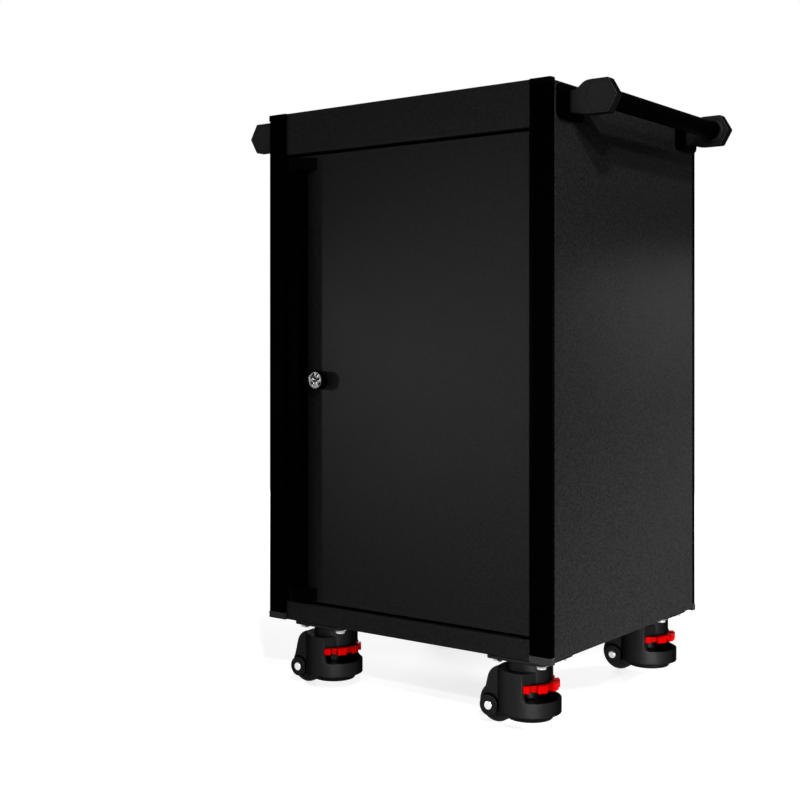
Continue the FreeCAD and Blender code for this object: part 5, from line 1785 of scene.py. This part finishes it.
    def hexagon_bolt(self, x: float, y: float) -> Form:
        """Draw a hexagon bolt with its washer.

        Args:
            x: Its place across.
            y: Its place along.

        Returns:
            The form of both.
        """
        washer = Form().turned(shifted(self.washer, self.plate_bottom), Axis.UP, (x, y), 40)
        seat = self.plate_bottom + self.washer[-1][1]
        apothem, low = self.bolt[0] / 2, seat - self.bolt[1]
        (share, chamfer), (dish, sunk) = self.bolt_crown, self.bolt_dish
        crown = apothem * share
        rings: list[list[Point3]] = [[], [], [], []]
        for c, s in circle(1.0, 36):
            fold = math.atan2(s, c) % math.radians(60) - math.radians(30)
            reach = apothem / math.cos(fold)
            drop = (reach - crown) * math.tan(math.radians(chamfer))
            for ring, size, z in zip(rings, (reach, reach, crown, crown * dish), (seat, low + drop, low, low + sunk)):
                ring.append((x + size * c, y + size * s, z))
        return washer.gather([Form().loft(rings)])

    def mounting_plate(self, x: float, y: float) -> Form:
        """Draw a top plate.

        Args:
            x: Its place across.
            y: Its place along.

        Returns:
            Its form, with rounded corners, eased edges and its king pin.
        """
        length, width, thick = self.plate
        outline = rounded(rectangle(about(x, length / 2), about(y, width / 2)), self.plate_corner, 6)
        low = self.plate_bottom
        pin = Form().turned(shifted(self.pin, low), Axis.UP, (x, y), 40)
        return Form().prism(outline, Axis.UP, low, low + thick).ease(0.7, 2, 60).gather([pin])

    def build(self, shop: Paintshop) -> None:
        """Make the four casters, which share their meshes.

        Args:
            shop: Where the pieces get their finish.
        """
        pad = self.notched(self.pad, 0.0, 12.0)
        kinds = (("cast_housing", self.housing(), "caster_black", "caster_housing", "swivel", None, False),
                 ("riveted_axle", self.axle(), "zinc_steel", "caster_axle", "swivel", None, False),
                 ("moulded_wheel", self.tyre(), "wheel_nylon", "caster_wheel", "wheel", None, True),
                 ("toothed_ring", self.thumbwheel(), "thumb_red", "thumbwheel", "thumb", None, True),
                 ("foot_pad", pad, "foot_black", "levelling_foot", "foot", None, True),
                 ("foot_sole", self.sole(), "foot_black", "levelling_foot", "foot", "sole_rubber", True),
                 ("foot_stem", self.threaded_stem(), "foot_black", "levelling_foot", "foot", "zinc_steel", True))
        for kind, form, slot, node, body, coat, crisp in kinds:
            for corner in Corner:
                shop.show(f"{kind}_{corner.label}", form, slot, [f"{node}_{corner.label}"], f"{body}_{corner.label}",
                          coat, self.place(corner), crisp)
        spots = [self.place(corner)[:2] for corner in Corner]
        plates = [self.mounting_plate(x, y) for x, y in spots]
        across, along = self.bolts
        bolts = [self.hexagon_bolt(u, v) for x, y in spots for u in about(x, across) for v in about(y, along)]
        shop.show("mounting_plates", Form().gather(plates), "caster_black", ["caster_plates"])
        shop.show("hexagon_bolts", Form().gather(bolts), "zinc_steel", ["caster_bolts"])


@dataclass(frozen=True)
class Lamp:
    """A soft rectangular lamp.

    Attributes:
        name: Name of the lamp.
        place: Where it stands, in metres.
        target: The point that it faces.
        size: Width and height in metres.
        power: Power in watts.
        beam: Angle of its beam in degrees, 180 where it has no grid in front.
    """

    name: str
    place: Point3
    target: Point3
    size: Point2
    power: float
    beam: float

    def hang(self) -> None:
        """Put the lamp into the scene."""
        data = bpy.data.lights.new(self.name, "AREA")
        set_up(data, {"shape": "RECTANGLE", "size": self.size[0], "size_y": self.size[1], "energy": self.power,
                      "spread": math.radians(self.beam)})
        facing = Vector(self.target) - Vector(self.place)
        stand(self.name, data, self.place).rotation_euler = facing.to_track_quat("-Z", "Y").to_euler()


@dataclass
class Studio:
    """Camera, lamps, world and floor.

    Attributes:
        eye: Place of the camera, in metres.
        yaw: Its angle from straight along the depth of the locker, in degrees.
        lens: Its focal length in millimetres, on a 36 mm sensor.
        drop: Its vertical shift.
        lamps: The lamps.
        fill: Strength of the world's light on the locker.
        floor_half: Half the floor's width in metres.
        floor_tone: Colour of the floor.
        floor_rough: Roughness of the floor.
        floor_fade: Distances in metres between which the floor's own light changes.
        floor_glow: How much the floor adds of its own where it is seen, under the locker and far away.
    """

    eye: Point3 = (1.381, -2.086, 0.6553)
    yaw: float = 37.18
    lens: float = 58.0
    drop: float = -0.0756
    lamps: tuple[Lamp, ...] = (
        Lamp("lamp_left", (-2.251, -2.021, 0.696), (2.651, -0.263, 0.388), (0.98, 0.3), 24.2, 30.9),
        Lamp("lamp_key", (1.623, -2.02, 2.36), (0.311, 0.0, 0.6), (0.12, 0.12), 68.0, 180.0),
        Lamp("lamp_front", (1.823, -2.33, 1.95), (0.311, 0.0, 0.6), (0.12, 0.12), 42.0, 180.0),
        Lamp("lamp_rear", (1.234, 1.902, 0.85), (0.368, 0.21, 0.347), (0.306, 0.26), 2.5, 25.0),
        Lamp("lamp_low", (2.403, -2.098, 0.131), (0.607, 0.0, 0.08), (0.8, 0.2), 2.44, 20.0),
        Lamp("lamp_back", (-1.9, 2.5, 0.56), (0.0, 0.0, 0.55), (1.2, 0.9), 110.0, 180.0),
        Lamp("lamp_caster_right", (1.595, -2.433, 0.19), (0.238, -0.215, 0.05), (0.12, 0.06), 0.07, 6.0),
        Lamp("lamp_caster_left", (1.48, -2.204, 0.19), (-0.194, -0.215, 0.05), (0.12, 0.06), 0.07, 6.0),
        Lamp("lamp_caster_rear", (1.387, -2.101, 0.19), (0.238, 0.231, 0.05), (0.12, 0.06), 0.07, 6.0),
    )
    fill: float = 0.05
    floor_half: float = 9.0
    floor_tone: float = 0.45
    floor_rough: float = 0.9
    floor_fade: Point2 = (0.5, 1.5)
    floor_glow: Point2 = (0.8, 1.0)

    def place_camera(self) -> None:
        """Stand the camera where the photograph was taken from."""
        data = bpy.data.cameras.new("camera")
        set_up(data, {"sensor_width": 36.0, "lens": self.lens, "shift_y": self.drop, "clip_start": 0.05,
                      "clip_end": 100.0})
        camera = stand("camera", data, self.eye)
        camera.rotation_euler = (math.radians(90), 0, math.radians(self.yaw))
        bpy.context.scene.camera = camera

    def light_room(self) -> None:
        """Set the world and hang the lamps."""
        world = bpy.data.worlds.new("studio")
        world.use_nodes = True
        bpy.context.scene.world = world
        board = NodeBoard(world.node_tree)
        mix = board.add("MixShader")
        board.join(board.seen_directly(), 0, mix, 0)
        for socket, strength in ((1, self.fill), (2, 1.0)):
            board.join(board.add("Background", {"Color": WHITE, "Strength": strength}), 0, mix, socket)
        board.join(mix, 0, board.add("OutputWorld"), 0)
        for lamp in self.lamps:
            lamp.hang()

    def lay_floor(self) -> None:
        """Lay a pale floor that keeps the locker's shadow."""
        mesh = bpy.data.meshes.new("floor")
        edge, tone = about(0.0, self.floor_half), self.floor_tone
        mesh.from_pydata(Axis.UP.ring(rectangle(edge, edge), 0.0), [], [(0, 1, 2, 3)])
        floor = stand("floor", mesh)
        board = MaterialBoard("floor", {"Base Color": (tone, tone, tone, 1.0), "Roughness": self.floor_rough,
                                        "Specular IOR Level": 0.0, "Emission Color": WHITE})
        away = board.add("VectorMath", operation="LENGTH")
        board.join(board.place, "Object", away, 0)
        fade = board.add("MapRange", dict(zip(board.LIMITS, self.floor_fade + self.floor_glow)),
                         interpolation_type="SMOOTHSTEP")
        board.join(away, "Value", fade, "Value")
        gain = board.add("Math", operation="MULTIPLY")
        board.join(board.seen_directly(), 0, gain, 0)
        board.join(fade, "Result", gain, 1)
        board.join(gain, 0, board.shader, "Emission Strength")
        mesh.materials.append(board.material)


def main() -> None:
    """Set the studio, then build and dress the locker."""
    logging.basicConfig(level=logging.INFO, format="%(name)s: %(message)s")
    studio = Studio()
    studio.place_camera()
    studio.light_room()
    studio.lay_floor()
    bpy.context.scene.view_settings.view_transform = "Standard"
    shop = Paintshop()
    shop.carried_over()
    for assembly in (CornerPosts(), CabinetSheets(), Interior(), Door(), Lock(), PushHandles(), LevellingCasters()):
        assembly.build(shop)
        log.info("%s done", type(assembly).__name__)


if __name__ == "__main__":
    main()
